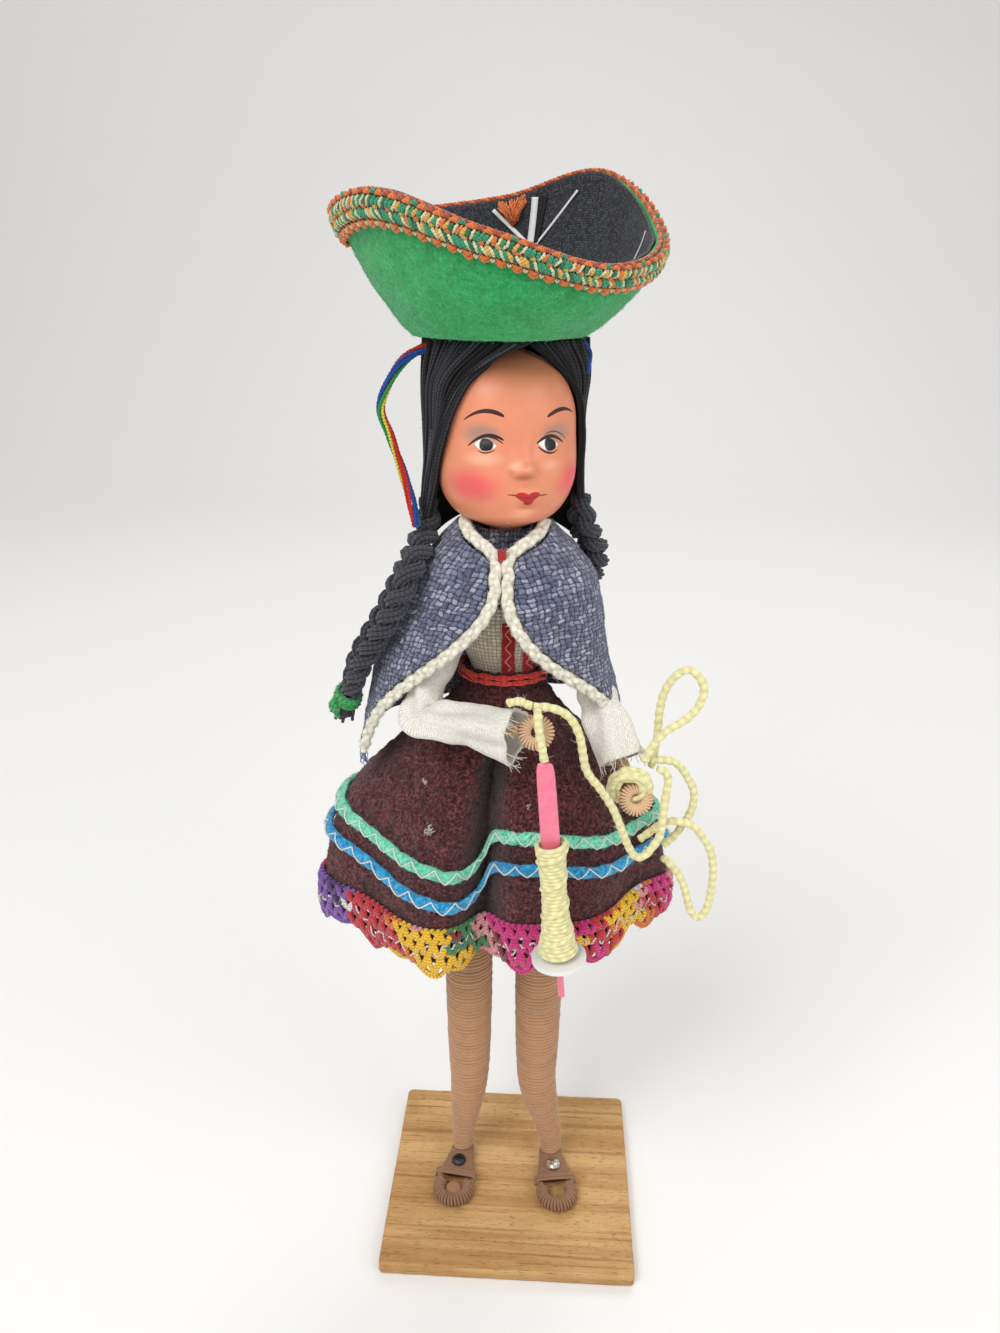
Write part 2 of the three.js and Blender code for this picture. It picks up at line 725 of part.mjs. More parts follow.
// Rows of the cape run from one front edge round the back to the other.
const CAPE_ROWS = 12;
function capeGeometry() {
  const columns = 16;
  const loops = range(columns + 1).map((column) => {
    const turnAt = (share) => {
      const half = capeOpening(share);
      return lerp(half, TURN - half, column / columns);
    };
    const shares = range(CAPE_ROWS + 1).map((row) => row / CAPE_ROWS);
    const outside = shares.map((share) => capePoint(turnAt(share), share, 0));
    const inside = shares.reverse().map((share) => capePoint(turnAt(share), share, -CAPE_CLOTH));
    return [...outside, ...inside];
  });
  return skin(loops);
}

// The line of an edging that lies square to the cape's front edge, from the hem up to the neck.
function capeEdgeLine(side) {
  const sign = side === "left" ? 1 : -1;
  const edge = (share, nudge = 0) => {
    return capePoint(sign * (capeOpening(share) - nudge), share, -CAPE_CLOTH / 2);
  };
  return range(CAPE_ROWS + 1).map((row) => {
    const share = 1 - row / CAPE_ROWS;
    const point = edge(share);
    const run = edge(Math.min(share + 0.01, 1)).sub(edge(Math.max(share - 0.01, 0))).normalize();
    const aside = edge(share, 0.02).sub(point);
    aside.addScaledVector(run, -aside.dot(run));
    return point.add(aside.setLength(EDGING_RADIUS + 1.5 * GAP));
  });
}

// Half width, front and back of the head at a height above the chin.
function headHalf(height, grow) {
  const share = height / HEAD_HEIGHT;
  const width = [
    [0, 0.34],
    [0.07, 0.6],
    [0.18, 0.83],
    [0.33, 0.97],
    [0.52, 1],
    [0.7, 0.96],
    [0.86, 0.78],
    [0.95, 0.5],
    [1, 0.22],
  ];
  const front = [
    [0, 0.5],
    [0.07, 0.82],
    [0.18, 0.96],
    [0.33, 1],
    [0.52, 0.97],
    [0.7, 0.95],
    [0.86, 0.8],
    [0.95, 0.52],
    [1, 0.22],
  ];
  const back = [
    [0, 0.3],
    [0.07, 0.5],
    [0.18, 0.74],
    [0.33, 0.92],
    [0.52, 1],
    [0.7, 0.98],
    [0.86, 0.82],
    [0.95, 0.54],
    [1, 0.22],
  ];
  return [
    HEAD_HALF_WIDTH * along(width, share) + grow,
    HEAD_FRONT * along(front, share) + grow,
    HEAD_BACK * along(back, share) + grow,
  ];
}

// The head about its own axis with its nose towards -Y, closed at chin and crown.
const HEAD_SIDES = 20;
const HEAD_ROWS = 11;
function headSolid(grow, nose) {
  const rings = range(HEAD_ROWS + 1).map((row) => {
    const height = (row / HEAD_ROWS) * HEAD_HEIGHT;
    const level = -grow + (row / HEAD_ROWS) * (HEAD_HEIGHT + 2 * grow);
    const [wide, front, back] = headHalf(height, grow);
    return range(HEAD_SIDES).map((side) => {
      const angle = (side / HEAD_SIDES) * TURN - Math.PI / 2;
      const deep = Math.sin(angle) < 0 ? front : back;
      const across = wide * Math.cos(angle);
      const rise = Math.exp(-((across / 2.2) ** 2) - ((height - NOSE_HEIGHT) / 3) ** 2);
      const bump = Math.sin(angle) < 0 ? nose * rise : 0;
      return vector(across, deep * Math.sin(angle) - bump, chinZ + level);
    });
  });
  return placeHead(skin(rings));
}

function placeHead(geometry) {
  return geometry.rotateZ(radians(HEAD_TURN)).translate(BODY_X, BODY_Y, 0);
}

// Hair over the crown, sides and nape, open round the face.
function hairGeometry() {
  const face = new THREE.Shape();
  face.absellipse(0, 0, FACE_HALF_WIDTH, HAIRLINE - HEAD_HEIGHT / 2, 0, TURN);
  const reach = HEAD_FRONT + HAIR_THICKNESS + 10;
  const opening = new THREE.ExtrudeGeometry(face, { depth: reach, bevelEnabled: false, curveSegments: 12 })
    .rotateX(Math.PI / 2)
    .translate(0, 0, chinZ + HEAD_HEIGHT / 2);
  const throat = new THREE.BoxGeometry(2 * FACE_HALF_WIDTH, reach, HEAD_HEIGHT / 2)
    .translate(0, -reach / 2, chinZ + HEAD_HEIGHT / 4 - 3);
  const under = new THREE.BoxGeometry(80, 80, 20).translate(0, 0, chinZ - 10);
  const crown = headSolid(GAP + HAIR_THICKNESS, 0);
  return cut(crown, placeHead(opening), placeHead(throat), placeHead(under), headSolid(GAP, 0));
}

// Each plait leaves the hair beside the face and lies on the cape; facing is the way its flat side looks.
function onCape(degrees, share, lift = 0) {
  const clear = PLAIT_DEPTH + GAP + CAPE_FOLD_DEPTH / 2 + lift;
  return capePoint(radians(degrees), share, clear);
}

const PLAITS = {
  right: {
    facing: vector(-0.84, -0.54, 0),
    line: [
      vector(-24, 3, chinZ + 11),
      vector(-22.8, 1, chinZ - 2),
      onCape(-57, 0.17, 1.6),
      onCape(-59, 0.38, 1.2),
      onCape(-66, 0.58, 1.2),
      onCape(-76, 0.76, TIE_THICKNESS),
    ],
  },
  left: {
    facing: vector(0.72, 0.69, 0),
    line: [
      vector(16.5, 7, chinZ + 11),
      vector(16, 9, chinZ - 2),
      onCape(122, 0.17, 0.4),
      onCape(135, 0.39, 0.4),
      onCape(138, 0.6, 0.8),
      onCape(140, 0.82, 1.5 * TIE_THICKNESS),
    ],
  },
};

function plaitGeometry({ line, facing }) {
  const width = [
    [0, 0.8],
    [0.2, 1],
    [0.8, 0.92],
    [1, 0.6],
  ];
  const size = (share) => [PLAIT_WIDTH * along(width, share), PLAIT_DEPTH * along(width, share)];
  return bar(line, size, 8, 10, facing);
}

// A knot of wool round a plait's end, and the brush of yarn below it.
function plaitEnd({ line, facing }, from, to, swell) {
  const tail = line[line.length - 1];
  const way = tail.clone().sub(line[line.length - 2]).normalize();
  const start = tail.clone().addScaledVector(way, from);
  const end = tail.clone().addScaledVector(way, to);
  const size = (share) => {
    const radius = swell * (0.72 + 0.28 * Math.sin(Math.PI * share));
    return [radius, radius];
  };
  return bar([start, start.clone().lerp(end, 0.5), end], size, 8, 4, facing);
}

// A point of the hat's outside: an angle round it, and a share of the way from its middle to its rim.
function hatRise(angle) {
  const count = HAT_RIM_HEIGHTS.length;
  const place = (((angle / TURN) % 1) + 1) % 1;
  const heights = [-1, 0, 1, 2].map((step) => {
    const index = Math.floor(place * count) + step;
    return HAT_RIM_HEIGHTS[((index % count) + count) % count];
  });
  const t = place * count - Math.floor(place * count);
  const [a, b, c, d] = heights;
  const curve = 2 * b + (c - a) * t + (2 * a - 5 * b + 4 * c - d) * t ** 2;
  return 0.5 * (curve + (3 * b - a - 3 * c + d) * t ** 3);
}

const HAT_FLAT_SHARE = 0.35;
function hatPoint(angle, share, offset) {
  const rise = hatRise(angle);
  const rim = 1 / Math.hypot(Math.cos(angle) / HAT_HALF_WIDTH, Math.sin(angle) / HAT_HALF_DEPTH);
  const spot = (at) => {
    if (at <= HAT_FLAT_SHARE) return [(at / HAT_FLAT_SHARE) * HAT_BOTTOM_RADIUS, 0];
    const t = (at - HAT_FLAT_SHARE) / (1 - HAT_FLAT_SHARE);
    const start = (1 - t) ** 2;
    const middle = 2 * t * (1 - t);
    return [
      start * HAT_BOTTOM_RADIUS + middle * (rim - 1.5) + t * t * rim,
      middle * 0.45 * rise + t * t * rise,
    ];
  };
  const [radius, height] = spot(share);
  const [nextRadius, nextHeight] = spot(Math.min(share + 0.02, 1));
  const [lastRadius, lastHeight] = spot(Math.max(share - 0.02, 0));
  const run = nextRadius - lastRadius;
  const climb = nextHeight - lastHeight;
  const size = Math.hypot(run, climb);
  const out = radius - (offset * climb) / size;
  return vector(
    BODY_X + HAT_FROM_BODY + out * Math.cos(angle),
    BODY_Y - 1 + out * Math.sin(angle),
    hatZ + height + (offset * run) / size,
  );
}

// A dish between two depths inside the hat's outside, from its middle up to the rim.
const HAT_SIDES = 30;
function hatRing(share, offset) {
  return range(HAT_SIDES).map((side) => hatPoint((side / HAT_SIDES) * TURN, share, offset));
}

function hatDish(near, far) {
  const shares = [0.06, HAT_FLAT_SHARE, 0.47, 0.6, 0.79, 1];
  const outside = shares.map((share) => hatRing(share, near));
  const inside = shares.reverse().map((share) => hatRing(share, far));
  return skin([...outside, ...inside]);
}

// The braid trim round the outside of the rim.
function hatTrim() {
  const shareFor = (angle) => 1 - HAT_TRIM_HEIGHT / (hatRise(angle) + 26);
  const ringAt = (step, offset) =>
    range(HAT_SIDES).map((side) => {
      const angle = (side / HAT_SIDES) * TURN;
      return hatPoint(angle, lerp(shareFor(angle), 1, step), offset);
    });
  const steps = [0, 0.5, 1];
  const inside = steps.map((step) => ringAt(step, -GAP));
  const outside = steps.reverse().map((step) => ringAt(step, -GAP - HAT_TRIM));
  return skin([...inside, ...outside], "ring");
}

// Points given as steps right, back and up from a starting point.
function stepsFrom(origin, steps) {
  return steps.map(([right, back, up]) => vector(origin.x + right, origin.y + back, origin.z + up));
}

function wristCore() {
  const core = pin(0, 0, 0, wristLength, WRIST_COIL_RADIUS - WRIST_YARN_RADIUS - GAP, 14);
  const hole = pin(0, 0, -1, wristLength + 1, ARM_RADIUS + GAP, 10);
  return onAxis(cut(core, hole), wristFoot, wristWay);
}

function wristCoil() {
  const points = coilPoints(WRIST_TURNS, wristClimb, () => WRIST_COIL_RADIUS, 13);
  console.log("wrist coil, least gap", leastGap(points, WRIST_YARN_RADIUS, 13), "mm");
  const coil = strand(points, WRIST_YARN_RADIUS, 5).translate(0, 0, WRIST_YARN_RADIUS);
  return onAxis(coil, wristFoot, wristWay);
}

// What a strand that ends at the coil stops short of.
function wristClear() {
  const reach = WRIST_COIL_RADIUS + WRIST_YARN_RADIUS + GAP;
  return onAxis(pin(0, 0, -GAP, wristLength + GAP, reach, 16), wristFoot, wristWay);
}

// Loose loops of yarn that hang from the coil, as steps from the middle of the left hand
const LEFT_STRANDS = {
  hand_strand_left: {
    pieces: 16,
    steps: [
      [-13.55, -7.2, 11.9],
      [-12.2, -6.7, 9.3],
      [-10.1, -6.2, 6.5],
      [-6.2, -5.7, 0.1],
      [-3.9, -5.1, -5.7],
      [-1.7, -4.4, -11.4],
      [0.6, -3.7, -15.1],
      [2.7, -3, -15.2],
      [4.7, -2.2, -13.2],
      [6.7, -1.3, -9.7],
      [7.2, -0.4, -4.5],
      [7.7, 0.6, 1.4],
      [8, 1.3, 5.5],
      [6.8, 1, 7.8],
      [4.6, 0.7, 8.8],
      [3, 0.6, 8],
    ],
  },
  yarn_loop_upper: {
    pieces: 15,
    steps: [
      [4.1, 6.5, 6.2],
      [4.9, 7.1, 12],
      [5.2, 7.3, 16.5],
      [5.4, 7.3, 22.4],
      [6.3, 7, 27.6],
      [8.7, 6.6, 32],
      [11.8, 6.4, 33.8],
      [14.7, 6, 31.8],
      [15.9, 5.5, 28.5],
      [14.6, 4.7, 24.4],
      [11.5, 3.7, 21.1],
      [7, 2.5, 18.5],
      [3.6, 1.6, 14.8],
      [1.6, 0.9, 10.4],
    ],
  },
  yarn_loop_side: {
    pieces: 8,
    steps: [
      [3.2, 2.8, 9.9],
      [6.4, 3.4, 9.8],
      [10.2, 4.6, 8.4],
      [13.7, 5.2, 3.8],
      [15.7, 5.6, -1.1],
      [15.3, 5.6, -6.2],
      [13.9, 5.2, -9.1],
      [11, 4.6, -13.7],
      [8.4, 3.8, -15.9],
    ],
  },
  yarn_loop_lower: {
    pieces: 16,
    steps: [
      [1.6, 0.6, -12.4],
      [4.4, 1.5, -10.6],
      [8.3, 2.7, -8.1],
      [12.2, 2.6, -7.9],
      [15.6, 2.5, -8.9],
      [18.8, 2.4, -12.7],
      [21, 2.3, -16.9],
      [22, 2.3, -22.8],
      [22, 2.4, -28.5],
      [21.2, 2.4, -34.8],
      [19.4, 2.5, -37.6],
      [17.3, 2.7, -36.2],
      [15.8, 2.9, -31.7],
      [14.1, 3.1, -26.5],
      [11.7, 3.3, -22.6],
      [8.6, 3.6, -19.5],
    ],
  },
};

// Yarn at the right hand, as steps from the middle of its eye
const RIGHT_STRANDS = {
  hand_strand_right: {
    pieces: 9,
    steps: [
      [-0.7, -1, 7.3],
      [3, -0.3, 6.9],
      [6.6, 0.1, 5.4],
      [9.1, 0.3, 2.7],
      [10.7, 0.3, -1],
      [11.6, 0.3, -5.4],
      [12.45, 0.5, -9.6],
    ],
  },
  yarn_end: {
    pieces: 2,
    steps: [
      [-7, -0.7, 7.9],
      [-4.4, -1, 8.6],
      [-1.22, -1.06, 7.5],
    ],
  },
};

// The yarn that the spindle hangs from, in the spindle's own plane
const LEAD_STEPS = [
  [0.3, -2.15, 6.75],
  [0.4, -4, 5.9],
  [0.8, -5.2, 2.4],
  [1.6, -5.7, -1.6],
  [2.2, -5.7, -4.9],
];

// The spindle is drawn along +Z from the top of its stick, then turned to hang.
const spindleTop = stepsFrom(ARMS.right.hand, [[2.3, -5.7, -5.3]])[0];
const spindleWay = vector(Math.sin(radians(SPINDLE_TILT)), 0, -Math.cos(radians(SPINDLE_TILT)));
const whorlDrop = SPINDLE_LENGTH - WHORL_FROM_TIP;
const copDrop = whorlDrop - WHORL_THICKNESS / 2 - GAP - COP_LENGTH;

function spindleStick() {
  const steps = 16;
  const neck = (copDrop - GAP) / SPINDLE_LENGTH - 1 / steps;
  const width = [
    [0, 0.35 * SPINDLE_HALF_WIDTH],
    [0.025, 0.75 * SPINDLE_HALF_WIDTH],
    [0.08, SPINDLE_HALF_WIDTH],
    [0.2, SPINDLE_HALF_WIDTH],
    [neck - 0.03, 0.7 * SPINDLE_HALF_WIDTH],
    [neck, SPINDLE_SHANK_RADIUS],
    [1, SPINDLE_SHANK_RADIUS],
  ];
  const thickness = [
    [0, 0.5 * SPINDLE_HALF_THICKNESS],
    [0.05, SPINDLE_HALF_THICKNESS],
    [neck - 0.03, SPINDLE_HALF_THICKNESS],
    [neck, SPINDLE_SHANK_RADIUS],
    [1, SPINDLE_SHANK_RADIUS],
  ];
  const line = [vector(0, 0, 0), vector(0, 0, SPINDLE_LENGTH / 2), vector(0, 0, SPINDLE_LENGTH)];
  const size = (share) => [along(width, share), along(thickness, share)];
  return onAxis(bar(line, size, 8, steps, vector(0, 1, 0)), spindleTop, spindleWay);
}

function whorlDisc() {
  const half = WHORL_THICKNESS / 2;
  const disc = pin(0, 0, whorlDrop - half, whorlDrop + half, WHORL_RADIUS, 28);
  const hole = pin(0, 0, 0, SPINDLE_LENGTH, SPINDLE_SHANK_RADIUS + GAP, 12);
  return onAxis(cut(disc, hole), spindleTop, spindleWay);
}

// Outside radius of the wound cop at a share of its length.
function copReach(share) {
  const outline = [
    [0, COP_TOP_RADIUS],
    [0.33, COP_WAIST_RADIUS],
    [0.66, COP_WAIST_RADIUS + 0.3],
    [1, COP_BELLY_RADIUS],
  ];
  return along(outline, share);
}

function copCore() {
  const rows = 8;
  const profile = range(rows + 1).map((row) => {
    const radius = copReach(row / rows) - 2 * COP_YARN_RADIUS - GAP;
    return new THREE.Vector2(radius, copDrop + (row / rows) * COP_LENGTH);
  });
  const bottom = new THREE.Vector2(0, copDrop);
  const top = new THREE.Vector2(0, copDrop + COP_LENGTH);
  const body = new THREE.LatheGeometry([bottom, ...profile, top], 12).rotateX(Math.PI / 2);
  const hole = pin(0, 0, 0, SPINDLE_LENGTH, SPINDLE_SHANK_RADIUS + GAP, 12);
  return onAxis(cut(body, hole), spindleTop, spindleWay);
}

function copWinding() {
  const climb = COP_LENGTH - 2 * COP_YARN_RADIUS;
  const points = coilPoints(COP_TURNS, climb, (share) => copReach(share) - COP_YARN_RADIUS, 11);
  console.log("cop winding, least gap", leastGap(points, COP_YARN_RADIUS, 11), "mm");
  const winding = strand(points, COP_YARN_RADIUS, 5).translate(0, 0, copDrop + COP_YARN_RADIUS);
  return onAxis(winding, spindleTop, spindleWay);
}

// Board, with blind pilot holes for the screws
function baseGeometry() {
  const [x, y] = [BASE_WIDTH / 2, BASE_DEPTH / 2];
  const outline = new THREE.Shape();
  outline.absarc(x - BASE_CORNER, y - BASE_CORNER, BASE_CORNER, 0, TURN / 4);
  outline.absarc(-x + BASE_CORNER, y - BASE_CORNER, BASE_CORNER, TURN / 4, TURN / 2);
  outline.absarc(-x + BASE_CORNER, -y + BASE_CORNER, BASE_CORNER, TURN / 2, 0.75 * TURN);
  outline.absarc(x - BASE_CORNER, -y + BASE_CORNER, BASE_CORNER, 0.75 * TURN, TURN);
  outline.closePath();
  const board = new THREE.ExtrudeGeometry(outline, {
    depth: BASE_THICKNESS - 2 * BASE_EDGE,
    bevelThickness: BASE_EDGE,
    bevelSize: BASE_EDGE,
    bevelOffset: -BASE_EDGE,
    bevelSegments: 1,
    curveSegments: 3,
  }).translate(0, 0, BASE_EDGE);
  const holes = LEGS.map((leg) => {
    const [holeX, holeY] = footPlace(leg, SCREW_FROM_ANKLE);
    const bottom = BASE_THICKNESS - SCREW_BITE - GAP;
    return pin(holeX, holeY, bottom, BASE_THICKNESS + 1, SCREW_SHANK_RADIUS + GAP, 14);
  });
  return cut(board, ...holes);
}

add("base_board", baseGeometry(), 0xb98b52, 0.7);
for (const leg of LEGS) {
  add(`foot_loop_${leg.side}`, footGeometry(leg), 0x9a6f52);
  add(`foot_screw_${leg.side}`, screwGeometry(leg), 0xb8b8b4, 0.35, 1);
  add(`leg_wrap_${leg.side}`, legGeometry(leg), 0xb08a62);
  add(`leg_wire_${leg.side}`, legWire(leg), 0x8a8a88, 0.4, 1);
}
const [discX, discY] = footPlace(LEGS[0], ANKLE_TO_TOE);
const toeDisc = pin(discX, discY, footBottom, footBottom + TOE_DISC_HEIGHT, TOE_HOLE_RADIUS - GAP, 14);
add("toe_disc_right", toeDisc, 0xa67a5c);

const neckTop = chinZ + NECK_IN_HEAD;
const neckLow = shoulderZ - NECK_IN_TORSO;
const torso = cut(
  torsoShell(hipZ + GAP, shoulderZ, 0),
  legWire(LEGS[0], GAP),
  legWire(LEGS[1], GAP),
  armWire(GAP),
  pin(BODY_X, BODY_Y, neckLow - GAP, shoulderZ + 1, NECK_RADIUS + GAP),
);
add("torso_padding", torso, 0xc9b79a);
add("neck_post", pin(BODY_X, BODY_Y, neckLow, neckTop, NECK_RADIUS), 0xc08a6c);
add("arm_wire", armWire(), 0xa98a72);

const blouseTop = shoulderZ - 2;
const blouseOut = GAP + BLOUSE_CLOTH;
const shoulderBores = Object.values(ARMS).map((arm) => sleeveGeometry(arm, GAP, false));
const torsoClear = torsoShell(hipZ + GAP, shoulderZ, GAP);
const blouseCloth = torsoShell(waistZ - 6, blouseTop, blouseOut);
const blouse = cut(blouseCloth, torsoClear, armWire(GAP), ...shoulderBores);
add("blouse", blouse, 0xe6dcc2);
for (const [name, side] of [["blouse_band_right", 0], ["blouse_band_left", 1]]) {
  const centre = BODY_X + BAND_FROM_MIDDLE + side * BAND_SPACING;
  const strip = new THREE.BoxGeometry(BAND_WIDTH, 40, 40).translate(centre, BODY_Y - 20, waistZ + 8);
  const low = waistZ + SASH_HEIGHT / 2 + GAP;
  const inner = blouseOut + GAP;
  const shell = torsoShell(waistZ - 6, blouseTop, inner + BAND_CLOTH, inner);
  const slab = new THREE.BoxGeometry(80, 80, 40).translate(BODY_X, BODY_Y, low - 20);
  const above = new THREE.BoxGeometry(80, 80, 40).translate(BODY_X, BODY_Y, low + BAND_LENGTH + 20);
  const strips = geometryOf(solid(shell).intersect(solid(strip)));
  add(name, cut(strips, slab, above, ...shoulderBores), 0xb01d20);
}

const skirtDrops = range(7).map((row) => lerp(BAND_DROP, SKIRT_LENGTH, row / 6));
const hemDrops = [SKIRT_LENGTH + GAP, SKIRT_LENGTH + GAP + HEM_HEIGHT];
add("skirt", skirtShell([-SASH_HEIGHT / 2, ...skirtDrops], 0, -SKIRT_CLOTH), 0x43181c);
add("crochet_hem", skirtShell(hemDrops, GAP, GAP - HEM_THICKNESS), 0xb5325a);
const skirtCords = [["turquoise_cord", UPPER_CORD_DROP, 0x54c9a4], ["blue_cord", LOWER_CORD_DROP, 0x1d7fb8]];
for (const [name, drop, color] of skirtCords) {
  const line = skirtRing(drop, GAP + CORD_RADIUS + 0.35, SKIRT_SIDES);
  add(name, strand(line, CORD_RADIUS, 5, true), color);
}
const sashDrops = [-SASH_HEIGHT / 2, SASH_HEIGHT / 2];
add("waist_sash", skirtShell(sashDrops, GAP + SASH_THICKNESS, GAP, 4 * SKIRT_FOLDS), 0xb5201c);

for (const [side, arm] of Object.entries(ARMS)) {
  const wideBlouse = torsoShell(waistZ - 8, blouseTop + 2, blouseOut + GAP);
  add(`sleeve_${side}`, cut(sleeveGeometry(arm, 0, true), wideBlouse, armWire(GAP)), 0xe8e4da);
  add(`forearm_${side}`, forearmGeometry(arm), 0xb98766);
  add(`hand_loop_${side}`, handGeometry(arm), 0xc9966f);
}

const capeClear = [
  ...shoulderBores,
  torsoShell(waistZ - 8, blouseTop + 2, blouseOut + GAP),
];
for (const side of ["right", "left"]) {
  const edging = strand(capeEdgeLine(side), EDGING_RADIUS, 6);
  add(`cape_edging_${side}`, cut(edging, ...shoulderBores), 0xe9e6da);
}
add("cape", cut(capeGeometry(), ...capeClear), 0x5a6078);

const head = cut(
  headSolid(0, NOSE_LENGTH),
  pin(BODY_X, BODY_Y, chinZ - 5, neckTop + GAP, NECK_RADIUS + GAP),
);
add("head", head, 0xc67b56, 0.45);
add("hair_cap", hairGeometry(), 0x17171a);
for (const [side, plait] of Object.entries(PLAITS)) {
  const hairZone = headSolid(2 * GAP + HAIR_THICKNESS, 0);
  add(`plait_${side}`, cut(plaitGeometry(plait), hairZone), 0x1b1b20);
  add(`plait_tie_${side}`, plaitEnd(plait, GAP, 4, PLAIT_DEPTH + TIE_THICKNESS), 0x16803e);
  add(`plait_tuft_${side}`, plaitEnd(plait, 4 + GAP, 10, PLAIT_DEPTH), 0x1b1b20);
}

const liningStart = HAT_FELT + 1.5 * GAP;
add("hat_felt", hatDish(0, HAT_FELT), 0x1f8a55);
add("hat_lining", hatDish(liningStart, liningStart + HAT_LINING), 0x2a2a2c);
add("hat_trim", hatTrim(), 0xd9793a);

const ribbonPoints = [
  vector(-17.5, -1, hatZ - RIBBON_RADIUS - GAP),
  vector(-22.3, -2, hatZ - 2.4),
  vector(-27.5, -2, hatZ - 5),
  vector(-31.6, -2, hatZ - 10.5),
  vector(-34, -2, hatZ - 17),
  vector(-32, -2, hatZ - 22.5),
  vector(-30, -2, hatZ - 28.4),
  vector(-28, -3, hatZ - 34.5),
  vector(-26.6, -4.2, hatZ - 39.5),
  vector(-25.4, -5.4, hatZ - 45),
];
add("hat_ribbon", cord(ribbonPoints, RIBBON_RADIUS, 11), 0xc23b2e);

add("wrist_core", wristCore(), 0xe7dba6);
add("wrist_coil", wristCoil(), 0xe7dba6);
for (const [name, { pieces, steps }] of Object.entries(LEFT_STRANDS)) {
  const line = cord(stepsFrom(ARMS.left.hand, steps), YARN_RADIUS, pieces);
  add(name, cut(line, wristClear()), 0xe7dba6);
}
for (const [name, { pieces, steps }] of Object.entries(RIGHT_STRANDS)) {
  add(name, cord(stepsFrom(ARMS.right.hand, steps), YARN_RADIUS, pieces), 0xe7dba6);
}
add("spindle_lead", cord(stepsFrom(ARMS.right.hand, LEAD_STEPS), YARN_RADIUS, 4), 0xe7dba6);
add("spindle_stick", spindleStick(), 0xc4456b, 0.35);
add("whorl_disc", whorlDisc(), 0xf1efe9, 0.4);
add("cop_core", copCore(), 0xe7dba6);
add("cop_winding", copWinding(), 0xe7dba6);

export default doll;
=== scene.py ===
"""A folk doll that spins yarn, on a wooden board. Points are worked out in millimetres."""

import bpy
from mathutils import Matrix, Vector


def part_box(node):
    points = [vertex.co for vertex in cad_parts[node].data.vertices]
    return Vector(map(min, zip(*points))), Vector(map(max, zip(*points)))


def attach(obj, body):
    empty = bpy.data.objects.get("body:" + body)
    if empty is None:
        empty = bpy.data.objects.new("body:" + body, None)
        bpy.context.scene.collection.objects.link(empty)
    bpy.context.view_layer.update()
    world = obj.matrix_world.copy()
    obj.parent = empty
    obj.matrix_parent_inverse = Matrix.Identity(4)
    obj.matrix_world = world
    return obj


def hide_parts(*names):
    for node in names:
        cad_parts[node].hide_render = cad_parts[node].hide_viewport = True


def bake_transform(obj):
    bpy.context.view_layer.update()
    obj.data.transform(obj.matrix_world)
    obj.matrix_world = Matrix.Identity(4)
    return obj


bl_info = {
    "name": "Spinner doll",
    "version": (1, 0),
    "blender": (4, 5, 0),
    "location": "3D View > Sidebar > Doll",
    "description": "Builds a folk doll that spins yarn, piece by piece",
    "category": "Object",
}

import math
import random

import bmesh
import bpy
import numpy as np
from bpy.props import FloatProperty, FloatVectorProperty, PointerProperty
from mathutils import Matrix, Quaternion, Vector, noise

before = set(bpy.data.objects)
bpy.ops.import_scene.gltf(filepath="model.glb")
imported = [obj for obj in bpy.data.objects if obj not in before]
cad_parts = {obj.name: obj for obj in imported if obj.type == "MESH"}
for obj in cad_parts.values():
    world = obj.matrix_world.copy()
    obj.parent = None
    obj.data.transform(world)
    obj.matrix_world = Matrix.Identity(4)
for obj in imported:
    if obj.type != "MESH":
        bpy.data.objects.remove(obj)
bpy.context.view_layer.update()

MM = 0.001
TURN = 2 * math.pi
ACROSS = Vector((1, 0, 0))
UP = Vector((0, 0, 1))
DRIFT_SEED = 1795733535  # without a seed noise_vector differs from run to run


def lerp(start, end, share):
    return start + (end - start) * share


def smooth(value, low, high):
    share = min(max((value - low) / (high - low), 0), 1)
    return share * share * (3 - 2 * share)


def along(stations, place):
    """A smooth value between stations, given as (place, value) pairs."""
    if place <= stations[0][0]:
        return stations[0][1]
    if place >= stations[-1][0]:
        return stations[-1][1]
    after = next(i for i, station in enumerate(stations) if station[0] > place)
    (x0, y0), (x1, y1) = stations[after - 1], stations[after]
    before = stations[max(after - 2, 0)]
    beyond = stations[min(after + 1, len(stations) - 1)]
    slope_in = (y1 - before[1]) / (x1 - before[0]) * (x1 - x0)
    slope_out = (beyond[1] - y0) / (beyond[0] - x0) * (x1 - x0)
    t = (place - x0) / (x1 - x0)
    curve = (2 * t**3 - 3 * t**2 + 1) * y0 + (t**3 - 2 * t**2 + t) * slope_in
    return curve + (3 * t**2 - 2 * t**3) * y1 + (t**3 - t**2) * slope_out


def paint(code):
    """A colour written as six hex digits, in the linear values that sockets take."""
    parts = [int(code[i : i + 2], 16) / 255 for i in (0, 2, 4)]
    return tuple(c / 12.92 if c < 0.04045 else ((c + 0.055) / 1.055) ** 2.4 for c in parts)


def smooth_line(points, step):
    """Points a step apart on a smooth curve through the given ones."""
    pts = [Vector(p) for p in points]
    ends = [2 * pts[0] - pts[1], *pts, 2 * pts[-1] - pts[-2]]
    fine = [pts[0]]
    for a, b, c, d in zip(ends, ends[1:], ends[2:], ends[3:]):
        ta, tb, tc = ((q - p).length ** 0.5 for p, q in ((a, b), (b, c), (c, d)))
        run_in = tb * ((b - a) / ta - (c - a) / (ta + tb) + (c - b) / tb)
        run_out = tb * ((c - b) / tb - (d - b) / (tb + tc) + (d - c) / tc)
        for k in range(1, 21):
            t = k / 20
            spot = (2 * t**3 - 3 * t**2 + 1) * b + (t**3 - 2 * t**2 + t) * run_in
            fine.append(spot + (3 * t**2 - 2 * t**3) * c + (t**3 - t**2) * run_out)
    return even(fine, step)


